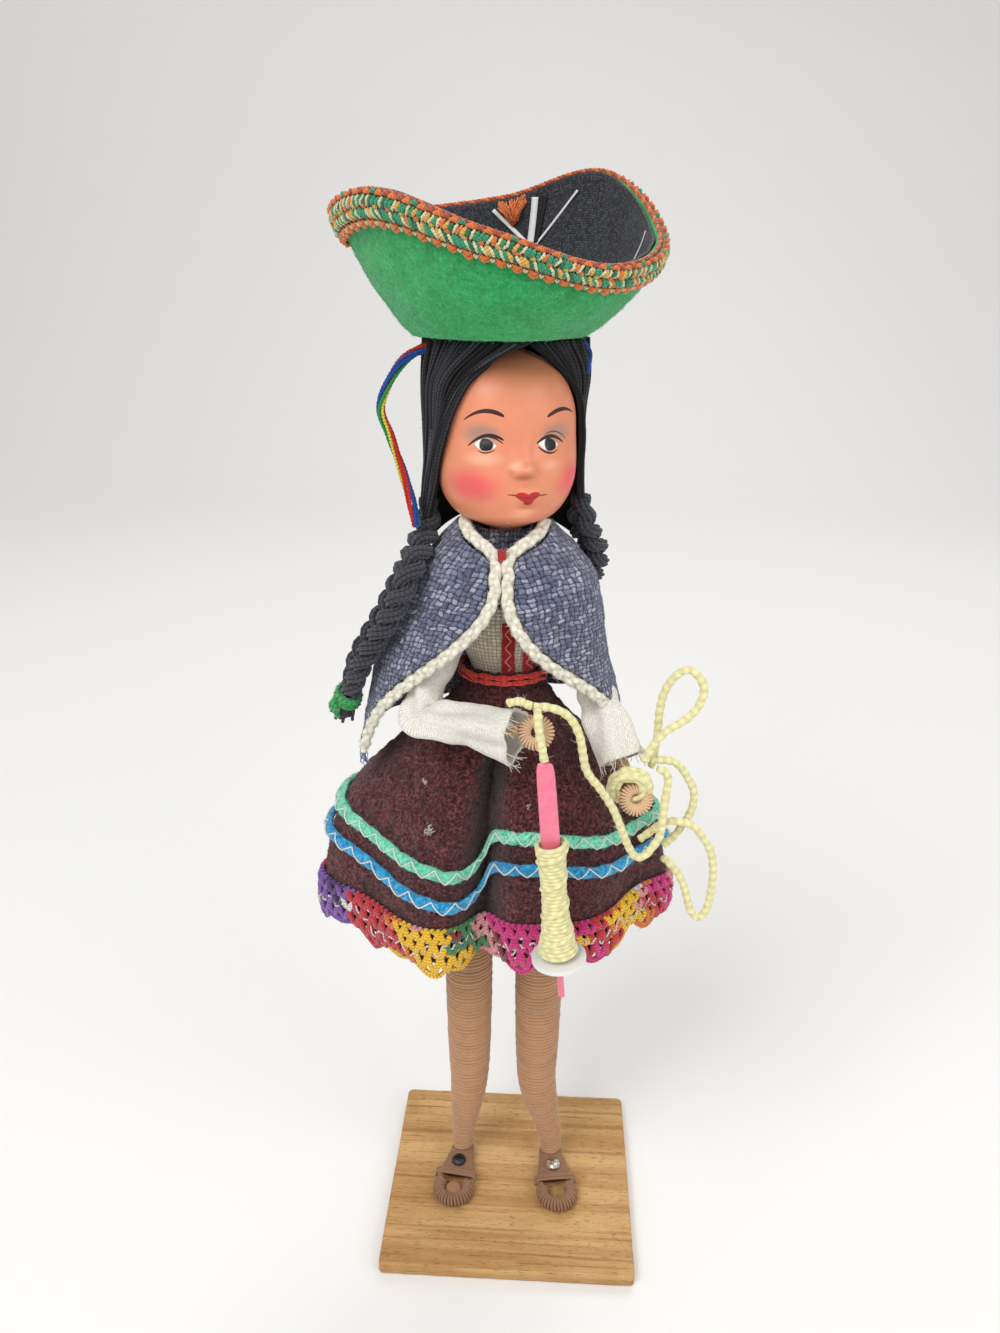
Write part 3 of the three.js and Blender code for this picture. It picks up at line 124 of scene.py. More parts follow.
def even(line, step):
    """The same line with its points spaced evenly, about a step apart."""
    lengths = [0]
    for p, q in zip(line, line[1:]):
        lengths.append(lengths[-1] + (q - p).length)
    count = max(2, round(lengths[-1] / step))
    out, at = [], 0
    for k in range(count + 1):
        goal = lengths[-1] * k / count
        while at < len(line) - 2 and lengths[at + 1] < goal:
            at += 1
        gap = lengths[at + 1] - lengths[at]
        share = (goal - lengths[at]) / gap if gap else 0
        out.append(line[at].lerp(line[at + 1], min(max(share, 0), 1)))
    return out


def turned(angle, across, over):
    """The way at an angle from across towards over."""
    return math.cos(angle) * across + math.sin(angle) * over


def stray(dice, size):
    """A random step of at most size along each axis."""
    return Vector([dice.uniform(-size, size) for _ in "xyz"])


def scatter(dice, spread):
    """A random step that is mostly within spread along each axis."""
    return Vector([dice.gauss(0, spread) for _ in "xyz"])


def even_angles(count, spot):
    """Angles round an outline whose points spot(angle) lie evenly spaced."""
    ring = [spot(TURN * k / 720) for k in range(721)]
    gone = np.cumsum([0.0] + [(q - p).length for p, q in zip(ring, ring[1:])])
    return np.interp(np.linspace(0, gone[-1], count + 1), gone, np.linspace(0, TURN, 721))


def line_length(line):
    return sum((q - p).length for p, q in zip(line, line[1:]))


def frames(line, side=None):
    """The way of a line at each point, and two directions square to it that turn as little as they can."""
    side = Vector(side) if side else None
    out = []
    for i in range(len(line)):
        way = (line[min(i + 1, len(line) - 1)] - line[max(i - 1, 0)]).normalized()
        if side is None:
            side = way.orthogonal()
        side = (side - way * side.dot(way)).normalized()
        out.append((way, side, way.cross(side)))
    return out


def plies(line, reach, lay, count=2, start=0.0):
    """The plies of a twisted yarn that follows a line; one ply goes round once in each lay."""
    out = [[] for _ in range(count)]
    gone = 0
    for i, (point, (_, side, over)) in enumerate(zip(line, frames(line))):
        gone += (point - line[i - 1]).length if i else 0
        for k in range(count):
            angle = TURN * (gone / lay + k / count) + start
            out[k].append(point + reach * turned(angle, side, over))
    return out


def braid(line, side, wide, deep, lay, shape=None):
    """Three strands plaited flat along a line; side is the way the flat of the braid runs."""
    out = [[], [], []]
    gone, total = 0, line_length(line)
    for i, (point, (_, across, over)) in enumerate(zip(line, frames(line, side))):
        gone += (point - line[i - 1]).length if i else 0
        size = shape(gone / total) if shape else 1
        for k in range(3):
            angle = TURN * (gone / lay + k / 3)
            swing = wide * size * math.sin(angle) * across
            out[k].append(point + swing + deep * size * math.sin(2 * angle) * over)
    return out


def helix(line, reach, pitch, per_turn=14, wobble=0.0, seed=0, side=None):
    """A thread wound round a line, where reach(share) gives (across, over) or one radius."""
    dice = random.Random(seed)
    total = line_length(line)
    turns = max(1, round(total / pitch))
    core = even(line, total / (turns * per_turn))
    out, shift = [], 0
    for i, (point, (_, across, over)) in enumerate(zip(core, frames(core, side))):
        if i % per_turn == 0:
            shift = dice.uniform(-wobble, wobble)
        angle = TURN * i / per_turn
        size = reach(i / (len(core) - 1))
        wide, high = size if isinstance(size, tuple) else (size, size)
        spot = point + (wide + shift) * math.cos(angle) * across
        out.append(spot + (high + shift) * math.sin(angle) * over)
    return out


def tubes(name, lines, radius, sides=6, taper=None, kinds=None):
    """One mesh of round tubes along lines. U goes round a tube and V along it in millimetres."""
    curve = bpy.data.curves.new(name, "CURVE")
    curve.dimensions = "3D"
    curve.bevel_depth = radius * MM
    curve.bevel_resolution = (sides - 4) // 2
    for _ in range(max(kinds) + 1 if kinds else 0):
        curve.materials.append(None)
    lengths = []
    for k, line in enumerate(lines):
        spline = curve.splines.new("POLY")
        spline.points.add(len(line) - 1)
        spline.points.foreach_set("co", [x for p in line for x in (*(p * MM), 1)])
        if taper:
            last = len(line) - 1
            spline.points.foreach_set("radius", [taper(i / last) for i in range(last + 1)])
        spline.use_smooth = True
        spline.material_index = kinds[k] if kinds else 0
        gone = np.array([0.0] + [(q - p).length for p, q in zip(line, line[1:])])
        lengths.append(np.cumsum(gone))
    holder = bpy.data.objects.new(name, curve)
    bpy.context.scene.collection.objects.link(holder)
    view = bpy.context.evaluated_depsgraph_get()
    mesh = bpy.data.meshes.new_from_object(holder.evaluated_get(view))
    bpy.data.objects.remove(holder)
    bpy.data.curves.remove(curve)
    corner = np.zeros(len(mesh.loops), int)
    mesh.loops.foreach_get("vertex_index", corner)
    uv = np.zeros(2 * len(corner), np.float32)
    layer = mesh.uv_layers[0]
    layer.data.foreach_get("uv", uv)
    uv = uv.reshape(-1, 2)
    uv[:, 1] = np.concatenate(lengths)[corner // sides]
    layer.data.foreach_set("uv", uv.ravel())
    bm = bmesh.new()
    bm.from_mesh(mesh)
    bmesh.ops.holes_fill(bm, edges=[e for e in bm.edges if e.is_boundary], sides=sides)
    bm.to_mesh(mesh)
    bm.free()
    return mesh


def surface(columns, rows, spot, size=(1, 1), joined=False, about=None):
    """A grid whose corners are moved to spot(across, down), both from 0 to 1.

    size is its width and length in the UV map, or gives the UV itself, in millimetres. A joined
    surface is a closed form, and a sheet's faces look away from the point about.
    """
    bm = bmesh.new()
    layer = bm.loops.layers.uv.new("UVMap")
    bmesh.ops.create_grid(bm, x_segments=columns, y_segments=rows, size=0.5)
    for face in bm.faces:
        for loop in face.loops:
            u, v = loop.vert.co.x + 0.5, loop.vert.co.y + 0.5
            loop[layer].uv = size(u, v) if callable(size) else (u * size[0], v * size[1])
    for vert in bm.verts:
        vert.co = spot(vert.co.x + 0.5, vert.co.y + 0.5) * MM
    bmesh.ops.remove_doubles(bm, verts=bm.verts, dist=1e-7)
    if joined:
        ends = [e for e in bm.edges if e.is_boundary]
        bmesh.ops.holes_fill(bm, edges=ends, sides=0)
        bmesh.ops.recalc_face_normals(bm, faces=bm.faces)
    if about:
        bm.normal_update()
        middle = Vector(about) * MM
        facing = sum((f.calc_center_median() - middle).dot(f.normal) * f.calc_area() for f in bm.faces)
        if facing < 0:
            bmesh.ops.reverse_faces(bm, faces=bm.faces)
    return bm


def thicken(obj, thickness):
    """Gives a sheet its thickness, on the side that its faces look away from."""
    cloth = obj.modifiers.new("Thickness", "SOLIDIFY")
    cloth.thickness, cloth.offset = thickness * MM, -1


def fibres(name, sources, count, reach, finish, body, seed, radius=0.05, lie=0.6):
    """Fine stray fibres that stand out from the faces of pieces; lie is how flat they lie.

    Without a finish of their own they take the finish of the face that they grow from.
    """
    dice = random.Random(seed)
    lines, kinds = [], []
    for source in sources:
        faces = source.data.polygons
        for _ in range(count):
            face = faces[dice.randrange(len(faces))]
            root, out = face.center / MM, face.normal
            aside = out.orthogonal().normalized()
            aside.rotate(Quaternion(out, dice.uniform(0, TURN)))
            curl = out.cross(aside) * dice.uniform(-0.6, 0.6)
            long = reach * dice.uniform(0.4, 1.5)
            way = out * (1 - lie) + aside * lie
            ends = [(0, 0), (0.35, 0.1), (0.7, 0.4), (1, 0.9)]
            lines.append([root + way * long * s + (curl - 0.4 * out) * long * bend * 0.6 for s, bend in ends])
            kinds.append(face.material_index)
    thin = lambda share: 1 - 0.6 * share
    shape = tubes(name, lines, radius, 4, taper=thin, kinds=None if finish else kinds)
    return piece(name, shape, finish or list(sources[0].data.materials), body)


def strung(name, lines, radius, sides, finish, body, stands_for=(), slot=None, **shape):
    """A piece made of round tubes along lines."""
    return piece(name, tubes(name, lines, radius, sides, **shape), finish, body, stands_for)


def refinish(node, finish):
    """Gives a rigid solid its finish."""
    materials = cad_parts[node].data.materials
    materials.clear()
    materials.append(finish)


def area_of(bm):
    return sum(face.calc_area() for face in bm.faces)


def lumps(bm, depth, size, seed=0.0):
    """Moves the surface in and out a little, so that nothing is perfectly even."""
    bm.normal_update()
    for vert in bm.verts:
        place = vert.co / (size * MM) + Vector((seed, 0, 0))
        vert.co += vert.normal * depth * MM * noise.noise(place)
    return bm


def piece(name, shape, finishes, body, stands_for=()):
    """Names a shape, gives it its finish and lets it ride on a body; given two bodies instead, it stays where
    it is.
    """
    if isinstance(shape, bmesh.types.BMesh):
        mesh = bpy.data.meshes.new(name)
        shape.to_mesh(mesh)
        shape.free()
    else:
        mesh = shape
        mesh.name = name
    kinds = np.zeros(len(mesh.polygons), np.int32)
    mesh.polygons.foreach_get("material_index", kinds)
    mesh.materials.clear()
    for finish in finishes if isinstance(finishes, (list, tuple)) else [finishes]:
        mesh.materials.append(finish)
    mesh.polygons.foreach_set("material_index", kinds)
    mesh.shade_smooth()
    obj = bpy.data.objects.new(name, mesh)
    bpy.context.scene.collection.objects.link(obj)
    if isinstance(body, str):
        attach(obj, body)
    else:
        Vector(body[2]) * MM
        Vector(body[3]) * MM
        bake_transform(obj)
    if stands_for:
        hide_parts(*stands_for)
    return obj


class Finish:
    """One node material; patterns are worked out in millimetres."""

    def __init__(self, name, rough=0.9, **fixed):
        self.made = bpy.data.materials.new(name)
        self.made.use_nodes = True
        self.tree = self.made.node_tree
        self.shader = self.tree.nodes["Principled BSDF"]
        self.shader.inputs["Roughness"].default_value = rough
        for socket, value in fixed.items():
            self.feed(self.shader.inputs[socket.replace("_", " ")], value)

    def feed(self, socket, value):
        if isinstance(value, bpy.types.NodeSocket):
            self.tree.links.new(value, socket)
        elif isinstance(value, (tuple, Vector)) and socket.type == "RGBA":
            socket.default_value = (*value, 1)
        else:
            socket.default_value = value

    def node(self, kind, settings=(), **inputs):
        made = self.tree.nodes.new("ShaderNode" + kind)
        for key, value in dict(settings).items():
            setattr(made, key, value)
        for key, value in inputs.items():
            self.feed(made.inputs[key], value)
        return made

    def math(self, operation, *values):
        made = self.node("Math", {"operation": operation})
        for socket, value in zip(made.inputs, values):
            self.feed(socket, value)
        return made.outputs[0]

    def spread(self, value, low, high):
        """Rises smoothly from 0 at low to 1 at high."""
        made = self.node("MapRange", {"interpolation_type": "SMOOTHSTEP"}, Value=value)
        made.inputs["From Min"].default_value = low
        made.inputs["From Max"].default_value = high
        return made.outputs["Result"]

    def mix(self, share, first, second):
        made = self.node("Mix", {"data_type": "RGBA"})
        for index, value in ((0, share), (6, first), (7, second)):
            self.feed(made.inputs[index], value)
        return made.outputs[2]

    def place(self, stretch=(1, 1, 1), uv=False):
        found = self.node("TexCoord").outputs["UV" if uv else "Object"]
        made = self.node("VectorMath", {"operation": "MULTIPLY"})
        self.feed(made.inputs[0], found)
        size = 1 if uv else 1000
        made.inputs[1].default_value = [size * s for s in stretch]
        return made.outputs[0]

    def parts(self, vector):
        return self.node("SeparateXYZ", Vector=vector).outputs

    def noise(self, size, detail=2, rough=0.5, where=None, warp=0.0):
        made = self.node("TexNoise", Vector=where or self.place(), Scale=1 / size)
        made.inputs["Detail"].default_value = detail
        made.inputs["Roughness"].default_value = rough
        made.inputs["Distortion"].default_value = warp
        return made.outputs["Fac"]

    def bump(self, height, depth):
        return self.node("Bump", Height=height, Distance=depth * MM, Strength=1.0).outputs["Normal"]

    def done(self, colour=None, normal=None, rough=None):
        for name, value in (("Base Color", colour), ("Normal", normal), ("Roughness", rough)):
            if value is not None:
                self.feed(self.shader.inputs[name], value)
        return self.made


def yarn_finish(name, colour, shade=0.45, twist=1.6, strands=2, sheen=0.35, relief=0.12, wave=0.3):
    """Spun fibre: fine twisted lines along a tube, with lighter and darker stretches; the grooves between the
    lines and other low parts of the relief are painted darker, as painted shade.
    """
    made = Finish(name, 0.95, Sheen_Weight=sheen, Sheen_Roughness=0.6, Specular_IOR_Level=0.2)
    x, y, _ = made.parts(made.place(uv=True))
    turn = made.math("ADD", made.math("MULTIPLY", x, strands), made.math("DIVIDE", y, twist))
    twisted = made.math("MULTIPLY", made.math("SINE", made.math("MULTIPLY", turn, TURN)), wave)
    height = made.math("ADD", twisted, made.noise(0.35, 4, 0.75))
    dark = tuple(c * (1 - shade) for c in colour)
    # Painted shade: the colour falls towards dark in the grooves of the twist and the other low parts of the
    # relief.
    groove_shaded = made.mix(made.spread(height, 0.1, 0.95), dark, colour)
    drift = made.spread(made.noise(6, 2), 0.45, 0.75)
    worn = made.mix(made.math("MULTIPLY", drift, 0.3), groove_shaded, dark)
    return made.done(worn, made.bump(height, relief))


def cloth_finish(name, colours, pitch, depth, wander=0.25, gap_shade=None, contrast=1.0, sheen=0.2):
    """Plain weave seen thread by thread; colours are dark, middle and light. The gaps between the threads take
    the gap shade colour, or the dark one, as painted shade.
    """
    made = Finish(name, 0.95, Sheen_Weight=sheen, Sheen_Roughness=0.6, Specular_IOR_Level=0.15)
    flat = made.place((1 / pitch, 1 / pitch, 1), uv=True)
    drift = made.node("TexNoise", Vector=flat, Scale=0.35, Detail=2).outputs["Color"]
    moved = made.node("VectorMath", {"operation": "MULTIPLY_ADD"})
    for socket, value in zip(moved.inputs, (drift, (wander * 2, wander * 2, 0), flat)):
        made.feed(socket, value)
    u, v, _ = made.parts(moved.outputs[0])
    cell_u, cell_v = made.math("FLOOR", u), made.math("FLOOR", v)
    across = made.math("SINE", made.math("MULTIPLY", made.math("FRACT", u), math.pi))
    down = made.math("SINE", made.math("MULTIPLY", made.math("FRACT", v), math.pi))
    over = made.math("PINGPONG", made.math("ADD", cell_u, cell_v), 1)
    first = made.math("MULTIPLY", made.math("POWER", across, 1.3), made.math("POWER", down, 0.35))
    second = made.math("MULTIPLY", made.math("POWER", down, 1.3), made.math("POWER", across, 0.35))
    other = made.math("MULTIPLY", second, made.math("SUBTRACT", 1, over))
    height = made.math("ADD", made.math("MULTIPLY", first, over), other)
    cell = made.node("CombineXYZ", X=cell_u, Y=cell_v)
    pick = made.node("TexWhiteNoise", Vector=cell.outputs[0]).outputs["Value"]
    fibre = made.noise(0.35, 4, 0.75)
    level = made.math("ADD", made.math("MULTIPLY", pick, 0.55), made.math("MULTIPLY", fibre, 0.6))
    dark, middle, light = colours
    body = made.mix(made.spread(level, 0.5 - 0.3 / contrast, 0.6), dark, middle)
    body = made.mix(made.spread(level, 0.55, 0.6 + 0.3 / contrast), body, light)
    # Painted shade in the gaps between the threads.
    body = made.mix(made.spread(height, 0.05, 0.6), gap_shade or dark, body)
    rise = made.math("ADD", height, made.math("MULTIPLY", fibre, 0.6))
    return made.done(body, made.bump(rise, depth))


def felt_finish(
    name, colours, lump=1.1, depth=0.45, hairs=None, sheen=0.4, drift=9, contrast=1.0, crease=None
):
    """Matted wool: soft lumps and fine fibre; colours are dark, middle and light.

    It may have stray hairs of another colour, and a painted shadow in a crease along one U.
    """
    made = Finish(name, 0.97, Sheen_Weight=sheen, Sheen_Roughness=0.55, Specular_IOR_Level=0.1)
    coarse = made.noise(lump, 3, 0.6, warp=0.4)
    fine = made.noise(0.2, 3, 0.7, warp=1.2)
    level = made.math("ADD", made.math("MULTIPLY", coarse, 0.65), made.math("MULTIPLY", fine, 0.35))
    dark, middle, light = colours
    body = made.mix(made.spread(level, 0.5 - 0.2 / contrast, 0.5), dark, middle)
    body = made.mix(made.spread(level, 0.5, 0.5 + 0.22 / contrast), body, light)
    worn = made.spread(made.noise(drift, 2), 0.4, 0.7)
    body = made.mix(made.math("MULTIPLY", worn, 0.35), body, dark)
    height = level
    if hairs:
        for size, thin, strength in ((1.9, 0.007, 0.75), (3.1, 0.004, 0.6)):
            swirl = made.noise(size, 1, 0.5, warp=1.6)
            away = made.math("ABSOLUTE", made.math("SUBTRACT", swirl, 0.5))
            line = made.math("MULTIPLY", made.spread(away, thin, thin * 0.3), strength)
            patch = made.math("MULTIPLY", line, made.spread(made.noise(2.3, 2), 0.48, 0.6))
            body = made.mix(patch, body, hairs)
            height = made.math("ADD", height, made.math("MULTIPLY", patch, 0.15))
    if crease:
        # Painted shadow: the colour darkens in a band round the crease's U, from a little below the top down.
        x, y, _ = made.parts(made.place(uv=True))
        away = made.math("ABSOLUTE", made.math("SUBTRACT", x, crease))
        inside = made.math("MULTIPLY", made.spread(away, 7, 1), made.spread(y, 6, 20))
        body = made.mix(made.math("MULTIPLY", inside, 0.85), body, tuple(c * 0.4 for c in dark))
    return made.done(body, made.bump(height, depth))


def plain_finish(name, colour, rough=0.4, speck=0.08, **fixed):
    """A smooth surface that is a little uneven in tone and gloss."""
    made = Finish(name, rough, **fixed)
    tone = made.noise(4, 4, 0.6)
    dark = tuple(c * (1 - 2.5 * speck) for c in colour)
    gloss = made.math("ADD", made.math("MULTIPLY", tone, 0.2), rough - 0.1)
    return made.done(made.mix(tone, dark, colour), made.bump(made.noise(0.7, 3), 0.02), gloss)


def wood_finish():
    """Pale brown board with long dark streaks and fine pores."""
    made = Finish("Board wood", 0.6, Specular_IOR_Level=0.35)
    long = made.place((0.05, 1, 1))
    band = made.noise(5.5, 4, 0.6, where=long, warp=0.6)
    streak = made.noise(1.1, 5, 0.65, where=made.place((0.03, 1, 1)), warp=0.3)
    pores = made.noise(0.35, 2, 0.6, where=made.place((0.12, 1, 1)))
    colour = made.mix(made.spread(band, 0.3, 0.7), paint("a97c47"), paint("c8a068"))
    colour = made.mix(made.spread(streak, 0.56, 0.72), colour, paint("8f6233"))
    lines = made.spread(made.noise(2.2, 3, 0.5, where=made.place((0.018, 1, 1))), 0.6, 0.66)
    colour = made.mix(made.math("MULTIPLY", lines, 0.35), colour, paint("7a5230"))
    colour = made.mix(made.math("MULTIPLY", made.spread(pores, 0.62, 0.72), 0.45), colour, paint("6f4a27"))
    stain = made.spread(made.noise(14, 3), 0.55, 0.75)
    colour = made.mix(made.math("MULTIPLY", stain, 0.35), colour, paint("9a6a38"))
    height = made.math("SUBTRACT", made.math("MULTIPLY", band, 0.4), made.spread(pores, 0.6, 0.7))
    return made.done(colour, made.bump(height, 0.12))


# The doll's measures in millimetres, as in its frame.
LEG_BOTTOM, HIP, WAIST, SHOULDER, CHIN, HAT = 8.8, 111.8, 183.8, 209.8, 226.8, 270.8
BODY = Vector((-3.8, 5, 0))
LEGS = {"right": (-16.5, -14.0, -7), "left": (13.2, 7.7, 8)}
ANKLE_Y, HIP_Y = 7.0, 6.0
RIGHT_HAND = Vector((5.6, -26.3, 180.3))
LEFT_HAND = Vector((31.7, -18.6, 158.4))
RIGHT_ELBOW = Vector((-24, -14.5, 178.3))
LEFT_ELBOW = Vector((20.5, -2.5, 182.8))


def steps_from(origin, steps):
    return [origin + Vector(step) for step in steps]


STRAND = steps_from(
    RIGHT_HAND,
    [(-0.7, -1, 7.3), (3, -0.3, 6.9), (6.6, 0.1, 5.4), (9.1, 0.3, 2.7), (10.7, 0.3, -1), (11.6, 0.3, -5.4)],
) + steps_from(
    LEFT_HAND,
    [
        *[(-13.6, -7.1, 12.1), (-12.2, -6.7, 9.3), (-10.1, -6.2, 6.5), (-6.2, -5.7, 0.1), (-3.9, -5.1, -5.7)],
        *[(-1.7, -4.4, -11.4), (0.6, -3.7, -15.1), (2.7, -3, -15.2), (4.7, -2.2, -13.2), (6.7, -1.3, -9.7)],
        *[(7.2, -0.4, -4.5), (7.7, 0.6, 1.4), (8, 1.3, 5.5), (6.8, 1, 7.8), (5.2, 0.8, 8.6)],
    ],
)
RIGHT_SHARE = 33  # length of the strand's part at the right hand
LOOPS = {
    "yarn_loop_upper": [
        *[(4.1, 6.5, 6.2), (4.9, 7.1, 12), (5.2, 7.3, 16.5), (5.4, 7.3, 22.4), (6.3, 7, 27.6), (8.7, 6.6, 32)],
        *[(11.8, 6.4, 33.8), (14.7, 6, 31.8), (15.9, 5.5, 28.5), (14.6, 4.7, 24.4), (11.5, 3.7, 21.1)],
        *[(7, 2.5, 18.5), (3.6, 1.6, 14.8), (1.6, 0.9, 10.4)],
    ],
    "yarn_loop_side": [
        *[(3.2, 2.8, 9.9), (6.4, 3.4, 9.8), (10.2, 4.6, 8.4), (13.7, 5.2, 3.8), (15.7, 5.6, -1.1)],
        *[(15.3, 5.6, -6.2), (13.9, 5.2, -9.1), (11, 4.6, -13.7), (8.4, 3.8, -15.9)],
    ],
    "yarn_loop_lower": [
        *[(1.6, 0.6, -12.4), (4.4, 1.5, -10.6), (8.3, 2.7, -8.1), (12.2, 2.6, -7.9), (15.6, 2.5, -8.9)],
        *[(18.8, 2.4, -12.7), (21, 2.3, -16.9), (22, 2.3, -22.8), (22, 2.4, -28.5), (21.2, 2.4, -34.8)],
        *[(19.4, 2.5, -37.6), (17.3, 2.7, -36.2), (15.8, 2.9, -31.7), (14.1, 3.1, -26.5)],
        *[(11.7, 3.3, -22.6), (8.6, 3.6, -19.5)],
    ],
}
LEAD = [(0.3, -2.15, 6.75), (0.4, -4, 5.9), (0.8, -5.2, 2.4), (1.6, -5.7, -1.6), (2.2, -5.7, -4.9)]
YARN_END = [(-7, -0.7, 7.9), (-4.4, -1, 8.6), (-1.22, -1.06, 7.5)]
RIBBON = [
    *[(-17.5, -1, 269.2), (-22.3, -2, 268.4), (-27.5, -2, 265.8), (-31.6, -2, 260.3), (-34, -2, 253.8)],
    *[(-32, -2, 248.3), (-30, -2, 242.4), (-28, -3, 236.3), (-26.6, -4.2, 231.3), (-25.4, -5.4, 225.8)],
]


def leg_centre(side, z):
    ankle, hip, _ = LEGS[side]
    share = smooth(z, LEG_BOTTOM, LEG_BOTTOM + 36)
    return Vector((lerp(ankle, hip, share), lerp(ANKLE_Y, HIP_Y, share), z))


class DollSizes(bpy.types.PropertyGroup):
    """Sizes that change how a piece is made"""

    yarn: FloatProperty(
        name="Spun yarn", description="Diameter of the hand-spun yarn", default=0.0022, unit="LENGTH"
    )
    lay: FloatProperty(
        name="Yarn lay", description="Length in which a ply goes round once", default=0.0052, unit="LENGTH"
    )
    leg_pitch: FloatProperty(
        name="Leg winding", description="Distance between turns of leg yarn", default=0.00125, unit="LENGTH"
    )


class DollColours(bpy.types.PropertyGroup):
    """Colours of the main finishes"""

    yarn: FloatVectorProperty(
        name="Spun yarn", description="Pale yellow wool", subtype="COLOR", default=paint("ede6ac")
    )
    limb: FloatVectorProperty(
        name="Leg yarn", description="Brown yarn on the legs", subtype="COLOR", default=paint("cf9a6c")
    )
    foot: FloatVectorProperty(
        name="Foot thread", description="Thread that binds the feet", subtype="COLOR", default=paint("a77a5c")
    )


class DOLL_OT_camera(bpy.types.Operator):
    """Camera at the height and slant from which the doll is seen"""

    bl_idname = "doll.camera"
    bl_label = "Camera"

    def execute(self, context):
        yaw, pitch, roll = (math.radians(a) for a in (2.89, 21.83, 0.39))
        forward = Vector(
            (-math.sin(yaw) * math.cos(pitch), math.cos(yaw) * math.cos(pitch), -math.sin(pitch))
        )
        right = Vector((math.cos(yaw), math.sin(yaw), 0))
        over = right.cross(forward)
        side = math.cos(roll) * right + math.sin(roll) * over
        over = math.cos(roll) * over - math.sin(roll) * right
        data = bpy.data.cameras.new("Camera")
        data.lens, data.sensor_width = 27.0, 36
        data.clip_start, data.clip_end = 0.01, 20
        camera = bpy.data.objects.new("Camera", data)
        context.scene.collection.objects.link(camera)
        camera.matrix_world = Matrix.Translation((0.0078, -0.2476, 0.2862)) @ Matrix(
            (side, over, -forward)
        ).transposed().to_4x4()
        context.scene.camera = camera
        return {"FINISHED"}


class DOLL_OT_yarn(bpy.types.Operator):
    """Spun yarn between the hands, its loose loops, and the hat's coloured threads"""

    bl_idname = "doll.yarn"
    bl_label = "Yarn and threads"

    def execute(self, context):
        noise.seed_set(DRIFT_SEED)
        sizes, colours = context.scene.doll_sizes, context.scene.doll_colours
        radius, lay = sizes.yarn / MM / 2, sizes.lay / MM
        wool = yarn_finish(
            "Spun wool", tuple(colours.yarn), shade=0.25, twist=2.6, strands=3, relief=0.07, wave=0.25
        )
        loose = plain_finish("Wool wisps", paint("efe9b4"), 0.95)

        def spun(name, line, body, stands_for, **facts):
            strand = plies(line, radius * 0.2, lay)
            made = strung(name, strand, radius * 0.82, 8, wool, body, stands_for, "spun_yarn")
            count, seed = int(line_length(line) * 3), len(name)
            wisps = fibres(name + "_wisps", [made], count, 2.2, loose, body, seed, radius=0.035, lie=0.35)
            if facts:
                path = [p * MM for p in line]
                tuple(path[0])
                line_length(line) * MM

        line = smooth_line(STRAND, 0.5)
        split = next(i for i in range(len(line)) if line_length(line[: i + 1]) > RIGHT_SHARE)
        limp = {"far_end": "object", "stiffness": "limp"}
        right = ("right_forearm", "doll_body", (14, -26.2, 182.6), (17.6, -26, 173.4))
        spun("hand_strand_right_yarn", line[: split + 1], right, ["hand_strand_right"], lay="loose", **limp)
        left = ("doll_body", "left_forearm", (20.6, -25, 166), (29, -23, 149))
        spun("hand_strand_left_yarn", line[split:], left, ["hand_strand_left"], lay="hanging", **limp)
        for name, steps in LOOPS.items():
            loop = smooth_line(steps_from(LEFT_HAND, steps), 0.5)
            spun(name + "_yarn", loop, "left_forearm", [name], lay="hanging", **limp)
        lead = smooth_line(steps_from(RIGHT_HAND, LEAD), 0.5)
        spun("spindle_lead_yarn", lead, "hanging_yarn", ["spindle_lead"])
        stub = smooth_line(steps_from(RIGHT_HAND, YARN_END), 0.5)
        spun("yarn_end_yarn", stub, "right_forearm", ["yarn_end"])

        threads = [("Red", "d2281c"), ("Yellow", "e9d34a"), ("Green", "1f9a4e"), ("Blue", "1d4fa8")]
        dyed = [yarn_finish(f"{word} thread", paint(code), twist=0.9, sheen=0.15) for word, code in threads]
        line = smooth_line(RIBBON, 0.6)
        threads = []
        for k, strand in enumerate(plies(line, 0.8, 46, 6, 0.8)):
            for ply in plies(strand, 0.18, 1.9, 2, k):
                sway = [noise.noise_vector(p / 9 + Vector((k * 5.0, 0, 0))) * 0.35 for p in ply]
                threads.append([p + w for p, w in zip(ply, sway)])
        kinds = [0, 0, 0, 0, 1, 1, 2, 2, 3, 3, 3, 3]
        name, stands_for = "hat_ribbon_threads", ["hat_ribbon"]
        ribbon = strung(name, threads, 0.3, 6, dyed, "head", stands_for, "ribbon_thread", kinds=kinds)
        line_length(line) * MM
        return {"FINISHED"}


